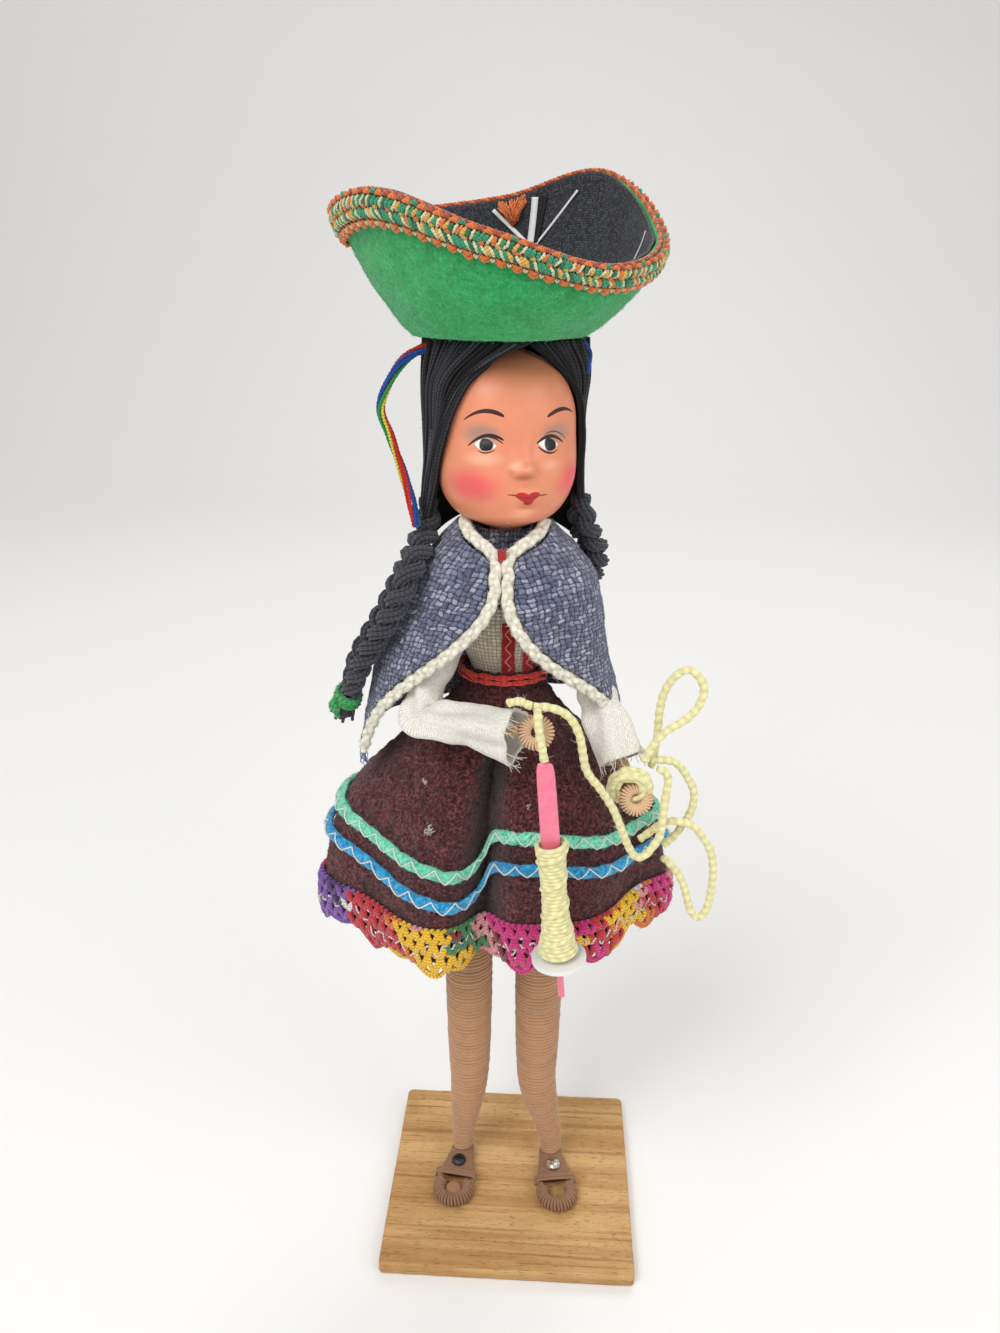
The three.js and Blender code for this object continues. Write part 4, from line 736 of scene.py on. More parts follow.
class DOLL_OT_board(bpy.types.Operator):
    """Wooden board with worn edges"""

    bl_idname = "doll.board"
    bl_label = "Board"

    def execute(self, context):
        low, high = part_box("base_board")
        bm = bmesh.new()
        bmesh.ops.create_cube(bm, size=1)
        bmesh.ops.scale(bm, vec=high - low, verts=bm.verts)
        bmesh.ops.translate(bm, vec=(low + high) / 2, verts=bm.verts)
        upright = [e for e in bm.edges if abs(e.verts[0].co.z - e.verts[1].co.z) > MM]
        bevel = {"affect": "EDGES", "segments": 4, "profile": 0.5, "material": -1}
        bmesh.ops.bevel(bm, geom=upright, offset=1.8 * MM, **bevel)
        bm.faces.ensure_lookup_table()
        rim = [e for e in bm.edges if any(abs(f.normal.z) > 0.9 for f in e.link_faces)]
        bmesh.ops.bevel(bm, geom=rim, offset=0.7 * MM, **bevel)
        for axis, reach in ((0, 0.036), (1, 0.032)):
            for k in range(-14, 15):
                plane = Vector((0, 0, 0))
                plane[axis] = reach * k / 14
                way = Vector((0, 0, 0))
                way[axis] = 1
                geom = bm.verts[:] + bm.edges[:] + bm.faces[:]
                bmesh.ops.bisect_plane(bm, geom=geom, plane_co=plane, plane_no=way)
        middle = high.z / 2
        for vert in bm.verts:
            edge = max(abs(vert.co.x) / high.x, abs(vert.co.y) / high.y)
            if edge > 0.9:
                dent = noise.noise(vert.co * 260) * 0.28 * MM
                vert.co.x -= math.copysign(max(dent, 0), vert.co.x)
                vert.co.y -= math.copysign(max(dent, 0), vert.co.y)
                if vert.co.z > middle:
                    vert.co.z -= max(noise.noise(vert.co * 400 + ACROSS), 0) * 0.22 * MM
        board = piece("board", bm, wood_finish(), "doll_body", ["base_board"])
        board.data.set_sharp_from_angle(angle=math.radians(50))
        return {"FINISHED"}


class DOLL_OT_legs(bpy.types.Operator):
    """Legs wound with brown yarn from the ankle up"""

    bl_idname = "doll.legs"
    bl_label = "Legs"

    def execute(self, context):
        pitch = context.scene.doll_sizes.leg_pitch / MM
        colour = tuple(context.scene.doll_colours.limb)
        limb = yarn_finish("Leg yarn", colour, shade=0.55, twist=4.0, strands=1, relief=0.06, wave=0)
        core = plain_finish("Leg core", paint("6f4d33"), 0.9)
        steel = plain_finish("Armature wire", paint("8c8a86"), 0.45, Metallic=1.0)
        shape = [(0, 3.2), (0.06, 3.4), (0.27, 5.6), (0.55, 6.8), (0.8, 7), (1, 7)]
        for side in LEGS:
            levels = [lerp(LEG_BOTTOM + 0.5, HIP - 0.6, k / 100) for k in range(101)]
            line = [leg_centre(side, z) for z in levels]
            radius = lambda share: along(shape, share) - 0.3
            wound = helix(line, radius, pitch, 18, wobble=0.1, seed=len(side), side=ACROSS)
            leg = [f"leg_wrap_{side}"]
            strung(f"leg_yarn_{side}", [wound], 0.68, 6, limb, "doll_body", leg, "leg_yarn")

            def spot(u, v, side=side):
                centre = leg_centre(side, lerp(LEG_BOTTOM + 0.2, HIP - 0.2, v))
                reach = along(shape, v) - 0.45
                angle = TURN * u
                return centre + reach * Vector((math.cos(angle), math.sin(angle), 0))

            inside = surface(24, 60, spot, joined=True)
            piece(f"leg_core_{side}", inside, core, "doll_body")
            refinish(f"leg_wire_{side}", steel)
        return {"FINISHED"}


class DOLL_OT_feet(bpy.types.Operator):
    """Feet bent from wire and bound with thread, and their screws"""

    bl_idname = "doll.feet"
    bl_label = "Feet"

    def execute(self, context):
        colour = tuple(context.scene.doll_colours.foot)
        thread = yarn_finish("Foot thread", colour, shade=0.5, sheen=0.15, relief=0.05, wave=0)
        inner = plain_finish("Foot lining", paint("5a3c2a"), 0.9)
        middle = 6.5  # height of the foot's middle above the board's underside
        loop, loop_y = 4.75, -15.5  # radius and place of the toe loop
        for side, (ankle, _, turn) in LEGS.items():
            angle = math.radians(turn)
            place = Matrix.Translation((ankle, ANKLE_Y, 0)) @ Matrix.Rotation(angle, 4, "Z")
            dice = random.Random(turn)

            def half(s):
                return along([(-3.6, 2.2), (-1.5, 3.6), (2, 4.1), (7, 5.2), (12, 6.3)], s)

            def top(s):
                return along([(-3.6, 1.5), (0, 3.4), (3, 2.6), (6, 1.9), (12, 1.7)], s)

            spine = [Vector((0, -lerp(-3.3, 10.2, k / 40), middle)) for k in range(41)]
            reach = lambda share: (half(lerp(-3.3, 10.2, share)) - 0.42, top(lerp(-3.3, 10.2, share)) - 0.1)
            wrap = helix(spine, reach, 0.72, 20, wobble=0.06, seed=5, side=ACROSS)
            low = middle - 1.65
            wrap = [Vector((p.x, p.y, max(p.z, low))) for p in wrap]
            ring = []
            for k in range(61):
                bend = math.radians(lerp(-208, 28, k / 60))
                ring.append(Vector((loop * math.cos(bend), loop_y + loop * math.sin(bend), middle - 0.1)))
            toe = helix(ring, lambda share: (1.75, 1.6), 0.86, 14, wobble=0.05, seed=7, side=UP)
            straps = []
            for k in range(3):
                y = -10.6 - 0.8 * k + dice.uniform(-0.1, 0.1)
                arc = [Vector((x, y, middle + 1.9 + 0.5 * (1 - (x / 6.2) ** 2))) for x in (-6, -3, 0, 3, 6)]
                arc = [Vector((-6.5, y, middle)), *arc, Vector((6.5, y, middle))]
                straps.append(smooth_line(arc, 0.6))
            lines = [[place @ p for p in line] for line in (wrap, toe, *straps)]
            foot = [f"foot_loop_{side}"]
            strung(f"foot_thread_{side}", lines, 0.44, 6, thread, "doll_body", foot, "foot_thread")

            def sole(u, v):
                s = lerp(-3.2, 10.4, v)
                wide, high = half(s) - 0.5, top(s) - 0.25
                a = TURN * u
                return place @ Vector((wide * math.cos(a), -s, middle + max(high * math.sin(a), -1.7)))

            def toe_tube(u, v):
                bend = math.radians(lerp(-205, 25, v))
                a = TURN * u
                reach = loop + 1.65 * math.cos(a)
                flat = Vector((reach * math.cos(bend), loop_y + reach * math.sin(bend), middle))
                return place @ (flat + 1.5 * math.sin(a) * UP)

            for word, spot in (("sole", sole), ("toe", toe_tube)):
                made = surface(24, 40, spot, joined=True)
                piece(f"foot_{word}_{side}", made, inner, "doll_body")
        dark = plain_finish("Dark screw", paint("4b4a4c"), 0.5, Metallic=0.9)
        bright = plain_finish("Bright screw", paint("d9d7cf"), 0.28, Metallic=1.0)
        refinish("foot_screw_right", dark)
        refinish("foot_screw_left", bright)
        refinish("toe_disc_right", plain_finish("Toe disc", paint("b0825f"), 0.85))
        return {"FINISHED"}


TORSO_WIDE = [(0, 17), (0.25, 15.98), (0.7347, 8), (0.8247, 10.8), (0.93, 12.5), (1, 6.2)]
TORSO_DEEP = [(0, 10), (0.25, 10), (0.7347, 6), (0.8247, 7), (0.93, 7), (1, 5.4)]
BELL = [(0, 0), (0.08, 0.12), (0.2, 0.36), (0.33, 0.63), (0.48, 0.87), (0.66, 0.98), (0.86, 1.02), (1, 1)]
CAPE_SPREAD = [(0, 0), (0.2, 0.42), (0.45, 0.66), (0.75, 0.86), (1, 1)]
CAPE_OPENING = [
    *[(0, 72), (0.1, 15), (0.18, 9.5), (0.27, 8.6), (0.38, 14)],
    *[(0.51, 26.5), (0.71, 52), (0.83, 63), (1, 72)],
]


def torso_ring(z, angle, offset=0.0):
    share = (z - HIP) / (SHOULDER - HIP)
    wide, deep = along(TORSO_WIDE, share) + offset, along(TORSO_DEEP, share) + offset
    return Vector((BODY.x + wide * math.cos(angle), BODY.y + deep * math.sin(angle), z))


HEM_LIFT = [
    *[(0, 3.5), (40, 1), (90, 0), (150, 1), (195, 4.5), (215, 4), (240, 0.5), (264, 0), (281, 0.5)],
    *[(300, 2.5), (334, 6), (360, 3.5)],
]
COUCHED = 38  # stitches round each couched cord
CORD_SHIFT = [
    *[(0, -1), (90, 0), (160, -2), (183, -5), (205, -3), (226, 0), (252, 4), (265, 5.2), (271, -3)],
    *[(277, -5.2), (292, -4.8), (319, -0.5), (345, -1), (360, -1)],
]


def skirt_point(angle, drop, offset=0.0):
    """The skirt's outside, at an angle from +X towards +Y and a drop below the waist."""
    drop -= along(HEM_LIFT, math.degrees(angle) % 360) * smooth(drop, 18, 72)
    share = max(drop - 2.5, 0) / 74.3
    spread = along(BELL, share)
    away = (angle - math.radians(268) + math.pi) % TURN - math.pi
    loose = smooth(share, 0.1, 0.9)
    dent = 7.6 * math.exp(-((away / 0.115) ** 2)) * smooth(share, 0, 0.34)
    fold = offset + 1.9 * math.cos(7 * angle + 0.6) * loose - dent
    wide, deep = lerp(10.9, 48, spread) + fold, lerp(8.9, 28, spread) + fold
    x = BODY.x - 2.7 * spread + wide * math.cos(angle)
    return Vector((x, BODY.y + deep * math.sin(angle), WAIST - drop))


def cape_point(turn, share, offset=0.0):
    """The cape's outside, at a turn from the front towards +X and a share of the way down."""
    spread = along(CAPE_SPREAD, share)
    grow = offset + share * 0.9 * math.cos(6 * turn)
    wide, deep = lerp(12.5, 36.5, spread) + grow, lerp(11.5, 27, spread) + grow
    x = BODY.x - 3.5 * smooth(share, 0.2, 0.7) + wide * math.sin(turn)
    drop = share * (56 - 5 * math.sin(turn) * share)
    return Vector((x, BODY.y - 1.5 - deep * math.cos(turn), CHIN - 1 - drop))


def cape_edge(sign, count=60):
    """The line of the edging beside the cape's front edge, from the hem up to the neck."""

    def edge(share, nudge=0.0):
        return cape_point(sign * (math.radians(along(CAPE_OPENING, share)) - nudge), share, -0.65)

    line = []
    for k in range(count + 1):
        share = 1 - k / count
        run = (edge(min(share + 0.01, 1)) - edge(max(share - 0.01, 0))).normalized()
        aside = edge(share, 0.02) - edge(share)
        aside -= run * aside.dot(run)
        line.append(edge(share) + aside.normalized() * 1.85)
    return line


class DOLL_OT_skirt(bpy.types.Operator):
    """Felted skirt with two couched cords round it"""

    bl_idname = "doll.skirt"
    bl_label = "Skirt"

    def execute(self, context):
        wool = felt_finish(
            "Skirt wool",
            (paint("160406"), paint("50161a"), paint("8a4448")),
            lump=0.8,
            depth=0.9,
            hairs=paint("a86f6a"),
            sheen=0.2,
            contrast=2.4,
            # the painted shadow in the deep front fold, at 268 degrees
            crease=250 * 268 / 360,
        )
        middle = (BODY.x, BODY.y, WAIST - 40)
        top, foot = -2.2, 65  # drops between which the cloth hangs
        spot = lambda u, v: skirt_point(TURN * u, lerp(top, foot, v) if v < 1 else foot)
        bm = lumps(surface(430, 98, spot, (250, 78), about=middle), 0.45, 1.15)
        cloth = area_of(bm)
        skirt = piece("skirt_cloth", lumps(bm, 0.45, 2.6), wool, "doll_body", ["skirt"])
        width = line_length([skirt_point(TURN * k / 400, 62) for k in range(401)]) * MM
        down = [skirt_point(0.3, lerp(top, foot, k / 40)) for k in range(41)]
        thicken(skirt, 1.6)
        white = yarn_finish("White stitch", paint("ece8e2"), shade=0.3, twist=0.8, sheen=0.2)
        for name, drop, colours in (
            ("turquoise", 43, ("3f9c80", "74dcb8", "aef4da")),
            ("blue", 52, ("0a679a", "1a9dd4", "62cdf2")),
        ):
            shades = [paint(code) for code in colours]
            roving = felt_finish(f"{name.capitalize()} roving", shades, lump=0.9, depth=0.4, contrast=1.6)
            angles = even_angles(COUCHED, lambda angle: skirt_point(angle, drop))

            def around(u, v, drop=drop, angles=angles):
                place = u * COUCHED
                whole = min(int(place), COUCHED - 1)
                angle = lerp(angles[whole], angles[whole + 1], place - whole)
                pinch = 1 - 0.16 * abs(math.cos(math.pi * place)) ** 4
                across = TURN * v
                low = 1.75 * pinch * math.sin(across) + along(CORD_SHIFT, math.degrees(angle) % 360)
                return skirt_point(angle, drop + low, 1.55 + 1.15 * pinch * math.cos(across))

            band = surface(440, 14, around, (250, 9))
            bmesh.ops.recalc_face_normals(band, faces=band.faces)
            slot = f"{name}_cord"
            made = piece(f"{name}_roving", lumps(band, 0.22, 0.9), roving, "doll_body", [slot])
            zigzag = []
            for k in range(30 * COUCHED + 1):
                place = k / 30
                whole = min(int(place), COUCHED - 1)
                angle = lerp(angles[whole], angles[whole + 1], place - whole)
                swing = math.asin(math.sin(TURN * place)) / (math.pi / 2)
                wave = swing * 0.88 + 0.35 * noise.noise(Vector((place * 1.1, drop, 0)))
                out = 1.6 + 1.2 * math.sqrt(max(1 - wave * wave, 0.0))
                shift = along(CORD_SHIFT, math.degrees(angle) % 360)
                zigzag.append(skirt_point(angle, drop + shift + 1.9 * wave, out))
            strung(f"{name}_stitch", [zigzag], 0.2, 6, white, "doll_body")
            fibres(f"{name}_fuzz", [made], 3400, 1.4, roving, "doll_body", drop, radius=0.045, lie=0.6)
        pale = plain_finish("Wool hairs", paint("7a4a45"), 0.95)
        fibres("skirt_fuzz", [skirt], 7000, 1.3, pale, "doll_body", 11, radius=0.05, lie=0.65)
        lint = []
        for degrees, drop, size, count in ((248, 36.5, 1.1, 26), (236, 26, 0.5, 10), (285, 30, 0.5, 6)):
            dice = random.Random(int(drop))
            for _ in range(count):
                start = skirt_point(math.radians(degrees), drop, 0.2) + size * scatter(dice, 0.5)
                steps = [start + size * stray(dice, 0.7) for _ in range(3)]
                lint.append([start, *steps])
        strung("skirt_lint", lint, 0.1, 4, white, "doll_body")
        line_length(down) * MM
        return {"FINISHED"}


HEM_YARNS = {
    "violet": "8552ad", "blush": "ec9ba0", "crimson": "cf2433", "gold": "fcc60a", "orange": "ec7a1e",
    "leaf": "3c8a52", "wine": "8c1a2c", "pink": "e02484", "chalk": "f2e8e4", "plum": "52306f",
}
HEM_RUN = [
    *[(0, "pink"), (18, "violet"), (34, "blush"), (46, "crimson"), (66, "orange"), (76, "gold"), (102, "leaf")],
    *[(116, "plum"), (134, "pink"), (152, "crimson"), (168, "gold"), (180, "pink"), (188, "violet")],
    *[(206, "plum"), (211, "violet"), (214, "crimson"), (230, "blush"), (233, "crimson"), (237, "orange")],
    *[(241, "gold"), (257, "leaf"), (262, "wine"), (265, "blush"), (267, "wine"), (271, "pink")],
    *[(277, "chalk"), (279, "pink"), (290, "crimson"), (293, "pink"), (300, "crimson"), (308, "orange")],
    *[(311, "gold"), (328, "orange"), (331, "crimson"), (336, "pink"), (352, "blush"), (360, "pink")],
]


class DOLL_OT_hem(bpy.types.Operator):
    """Crocheted hem of many-coloured yarn, with pointed scallops"""

    bl_idname = "doll.hem"
    bl_label = "Crocheted hem"

    def execute(self, context):
        words = list(HEM_YARNS)
        dyed = [yarn_finish(f"Hem {word}", paint(HEM_YARNS[word]), shade=0.5, twist=1.3) for word in words]
        dice = random.Random(4)
        count = 78  # stitches round one row
        angles = even_angles(count, lambda angle: skirt_point(angle, 70))

        def kind_at(angle):
            degrees = math.degrees(angle) % 360 + dice.uniform(-2.5, 2.5)
            near = [word for start, word in HEM_RUN if start <= max(degrees, 0)]
            word = near[-1]
            if dice.random() < 0.07:
                word = dice.choice(["chalk", "blush", "crimson", "gold"])
            return words.index(word)

        def at(place, drop, offset):
            whole = int(place) % count
            angle = lerp(angles[whole], angles[whole + 1], place - int(place))
            away = abs(((math.degrees(angle) - 255) / 27.7 + 0.5) % 1 - 0.5)
            longer = 3.6 * max(1 - 2.4 * away, 0) * smooth(drop, 66, 76)
            return skirt_point(angle, drop + longer, offset), angle

        lines, kinds = [], []
        rows = ((64.6, 68.4), (67.6, 71.6), (70.8, 75.2))
        for row, (top, bottom) in enumerate(rows):
            for k in range(count):
                centre = k + 0.5 * (row % 2) + dice.uniform(-0.06, 0.06)
                kind = kind_at(at(centre, top, 0)[1] - 0.07 * row)
                for lean in (-1, 1):
                    for twin in (-0.11, 0.11):
                        leg = []
                        for s in range(6):
                            t = s / 5
                            place = centre + lean * 0.56 * (1 - t) + twin * (1 - 0.6 * t)
                            bulge = 0.9 + 1.0 * math.sin(math.pi * (0.12 + 0.8 * t)) + 0.25 * lean * (t - 0.5)
                            leg.append(at(place, lerp(top, bottom, t), bulge)[0])
                        lines.append(leg)
                        kinds.append(kind)
            chain = []
            for k in range(count * 8 + 1):
                place = k / 8
                sway = 0.35 * math.sin(TURN * place * 2)
                chain.append(at(place % count, top - 0.1 + sway, 1.25 + 0.35 * math.cos(TURN * place * 2))[0])
            for k in range(count):
                lines.append(chain[8 * k : 8 * k + 9])
                kinds.append(kind_at(angles[k]))
        for k in range(26):
            centre = 3 * (k + 0.5)
            kind = kind_at(at(centre, 76, 0)[1] - 0.14)
            for reach in (1.15, 0.6):
                arch = []
                for s in range(11):
                    t = s / 10
                    place = centre + reach * 1.15 * (2 * t - 1)
                    drop = 74.6 + 1.9 * reach * (1 - abs(2 * t - 1) ** 1.5)
                    arch.append(at(place % count, drop, 1.1 + 0.3 * (reach < 0.7))[0])
                lines.append(arch)
                kinds.append(kind)
        name, hem = "hem_stitches", ["crochet_hem"]
        stitches = strung(name, lines, 0.62, 6, dyed, "doll_body", hem, "hem_crochet", kinds=kinds)
        fibres("hem_fuzz", [stitches], 4600, 1.7, None, "doll_body", 14, radius=0.05, lie=0.6)
        backing = felt_finish("Hem backing", (paint("3a1420"), paint("7a2a3c"), paint("a24a4e")), depth=0.3)
        spot = lambda u, v: skirt_point(TURN * u, lerp(65.4, 75.4, v), 0.55)
        shell = surface(200, 8, spot, (250, 10), about=(BODY.x, BODY.y, 110))
        thicken(piece("hem_backing", shell, backing, "doll_body"), 1.5)
        threads = []
        for seed in range(3):
            wander = random.Random(40 + seed)
            place, line = seed * count / 3, []
            for _ in range(int(count / 3 * 9)):
                place += 0.11
                drop = 70 + 3.6 * noise.noise(Vector((place * 0.6, seed * 7.3, 0)))
                drop += 0.9 * math.sin(place * 5.1 + wander.uniform(-0.3, 0.3))
                line.append(at(place % count, drop, 2.15 + 0.3 * math.sin(place * 9))[0])
            threads.append(smooth_line(line, 0.5))
        white = yarn_finish("Hem thread", paint("e4ddd2"), twist=0.8, sheen=0.2)
        strung("hem_threads", threads, 0.27, 6, white, "doll_body")
        return {"FINISHED"}


class DOLL_OT_sash(bpy.types.Operator):
    """Padded body and the strands of red wool wound round the waist"""

    bl_idname = "doll.sash"
    bl_label = "Body and sash"

    def execute(self, context):
        def spot(u, v):
            return torso_ring(lerp(HIP, SHOULDER, v), TURN * u)

        stuffing = cloth_finish("Stuffing", (paint("8d8474"), paint("b9b09c"), paint("d8d0be")), 0.7, 0.1)
        shape = surface(40, 60, spot, (90, 98), joined=True)
        body = piece("torso_stuffing", shape, stuffing, "doll_body", ["torso_padding"])
        red = yarn_finish("Sash yarn", paint("ee3b24"), shade=0.35, twist=1.6, relief=0.07)
        strands = []
        for k in range(2):
            base = lerp(-1.8, -0.3, k)
            ring = []
            for s in range(120):
                angle = TURN * s / 120
                drop = base + 0.45 * noise.noise(Vector((3 * math.cos(angle), 3 * math.sin(angle), k)))
                out = 1.1 + 0.5 * noise.noise(Vector((2 * math.cos(angle), 2 * math.sin(angle), k + 9)))
                ring.append(skirt_point(angle, max(drop, -2.2), out))
            strands.append(ring)
        twisted = [ply for ring in strands for ply in plies([*ring, ring[0]], 0.34, 9)]
        strung("sash_strands", twisted, 0.46, 6, red, "doll_body", ["waist_sash"], "red_wool")
        refinish("arm_wire", plain_finish("Arm wire", paint("8c8a86"), 0.45, Metallic=1.0))
        return {"FINISHED"}


class DOLL_OT_blouse(bpy.types.Operator):
    """Loosely woven blouse with two red bands down the front"""

    bl_idname = "doll.blouse"
    bl_label = "Blouse"

    def execute(self, context):
        tan = (paint("ded2ba"), paint("f4ecdc"), paint("fdf9f0"))
        # The tan given for the gaps between threads is painted shade.
        cotton = cloth_finish("Blouse cotton", tan, 1.05, 0.3, wander=0.3, gap_shade=paint("c6ae88"))
        rows = lambda v: lerp(177.8, 207.8, v)
        spot = lambda u, v: torso_ring(rows(v), TURN * u, 1.0)
        bm = surface(72, 44, spot, (66, 31), about=(BODY.x, BODY.y, 192))
        cloth = area_of(bm)
        blouse = piece("blouse_cloth", lumps(bm, 0.25, 5), cotton, "doll_body", ["blouse"])
        thicken(blouse, 0.7)
        ring = [torso_ring(203, TURN * k / 200, 1) for k in range(201)]
        side = [torso_ring(rows(k / 30), 0, 1) for k in range(31)]
        reds = (paint("7c0a10"), paint("b8161c"), paint("d23a34"))
        red = felt_finish("Band wool", reds, lump=0.7, depth=0.25)
        pale = yarn_finish("Band stitch", paint("f2a090"), shade=0.3, twist=0.8, sheen=0.2)
        on_it = []
        for name, x in (("right", -2.4), ("left", 3.1)):

            def on_front(across, z, out, x=x):
                share = (z - HIP) / (SHOULDER - HIP)
                wide, deep = along(TORSO_WIDE, share) + out, along(TORSO_DEEP, share) + out
                reach = (x + across - BODY.x) / wide
                return Vector((x + across, BODY.y - deep * math.sqrt(max(1 - reach * reach, 0.05)), z))

            def spot(u, v):
                angle = TURN * u
                out = 1.55 + 0.4 * math.sin(angle)
                return on_front(1.7 * math.cos(angle), lerp(185.6, 200.3, v), out)

            shape = lumps(surface(24, 40, spot, (8, 14), joined=True), 0.15, 1.1)
            band = piece(f"band_{name}", shape, red, "doll_body", [f"blouse_band_{name}"])
            zigzag = []
            for k in range(61):
                swing = math.asin(math.sin(math.pi * k / 9 + (x > 0))) / (math.pi / 2)
                zigzag.append(on_front(0.8 * swing, lerp(186.8, 199.8, k / 60), 2.0))
            on_it += [band, strung(f"band_stitch_{name}", [zigzag], 0.2, 6, pale, "doll_body")]
        flat = (line_length(ring) * MM, line_length(side) * MM)
        return {"FINISHED"}


WRIST_WAY = Vector((-0.358, 0.514, 0.780)).normalized()
WRIST_FOOT = LEFT_HAND + 4.9 * WRIST_WAY
# Shoulder, upper arm, elbow and cuff of each sleeve, and the cuff's radius.
ARMS = {
    "right": [(-14.8, 3, 202.8), (-19, -3, 192.8), RIGHT_ELBOW, (0.4, -24.4, 178.6), 7.4],
    "left": [(7.2, 3, 202.8), (14, 0.5, 193.8), LEFT_ELBOW, WRIST_FOOT + 6.0 * WRIST_WAY, 6.4],
}
COIL_FACING = Vector((-0.1, -0.95, -0.25)).normalized()
COIL_MIDDLE = LEFT_HAND + Vector((-1.6, 1.2, 2.9))


class DOLL_OT_sleeves(bpy.types.Operator):
    """Wide cotton sleeves with frayed cuffs"""

    bl_idname = "doll.sleeves"
    bl_label = "Sleeves"

    def execute(self, context):
        white = (paint("cfc8bc"), paint("ece8e0"), paint("faf8f4"))
        # Painted shade for the gaps between the sleeve's threads.
        gap_shade = paint("c4bcae")
        cotton = cloth_finish("Sleeve cotton", white, 0.45, 0.07, wander=0.2, contrast=0.7, gap_shade=gap_shade)
        loose = plain_finish("Cuff threads", paint("e6dfd2"), 0.9)
        for side, (shoulder, upper, elbow, cuff, wide) in ARMS.items():
            shoulder, upper, cuff = Vector(shoulder), Vector(upper), Vector(cuff)
            line = smooth_line([shoulder, upper, elbow, elbow.lerp(cuff, 0.55), cuff], 0.4)
            ways = frames(line, UP)
            reach = [(0, 5), (0.5, 5), (0.75, 5.6), (1, wide)]
            last = len(line) - 1

            def spot(u, v, line=line, ways=ways, reach=reach, last=last, side=side):
                place = v * last
                low = min(int(place), last - 1)
                centre = line[low].lerp(line[low + 1], place - low)
                _, across, over = ways[round(place)]
                angle = TURN * u
                slack = smooth(v, 0.35, 0.6)
                fold = 0.55 * math.sin(3 * angle + 9 * v) * slack + 0.45 * math.sin(5 * angle - 6 * v) * slack
                crease = 0.5 * math.sin(34 * v + 2.2 * math.sin(angle)) * math.exp(-(((v - 0.5) / 0.22) ** 2))
                edge = 0.35 * math.sin(7 * angle) * smooth(v, 0.85, 1)
                radius = along(reach, v) - 0.35 + fold * 1.15 + crease * 1.3 + edge
                return centre + radius * turned(angle, across, over)

            long = line_length(line)
            girth = lambda u, v: (TURN * (u - 0.5) * along(reach, v), v * long)
            bm = surface(96, 110, spot, girth)
            bm.normal_update()
            bm.faces.ensure_lookup_table()
            probe = bm.faces[len(bm.faces) // 2]
            place = probe.calc_center_median()
            near = min(line, key=lambda p: (p * MM - place).length)
            if (place - near * MM).dot(probe.normal) < 0:
                bmesh.ops.reverse_faces(bm, faces=bm.faces)
            cloth = area_of(bm)
            forearm = f"{side}_forearm"
            bend = ("doll_body", forearm, upper.lerp(elbow, 0.55), elbow.lerp(cuff, 0.35))
            name, stands_for = f"sleeve_cloth_{side}", [f"sleeve_{side}"]
            sleeve = piece(name, lumps(bm, 0.3, 4, 3.3), cotton, bend, stands_for)
            thicken(sleeve, 0.8)
            dice = random.Random(len(side))
            threads = []
            for _ in range(46 if side == "right" else 26):
                u = dice.random()
                start = spot(u, 1)
                way = ways[-1][0] + 0.5 * stray(dice, 1) - UP * 0.4
                run = dice.uniform(0.6, 2.6) * way
                bow = stray(dice, 0.6)
                threads.append([start - ways[-1][0] * 0.5, start + run * 0.5, start + run + bow])
            frayed = strung(f"cuff_threads_{side}", threads, 0.09, 4, loose, forearm)
        return {"FINISHED"}


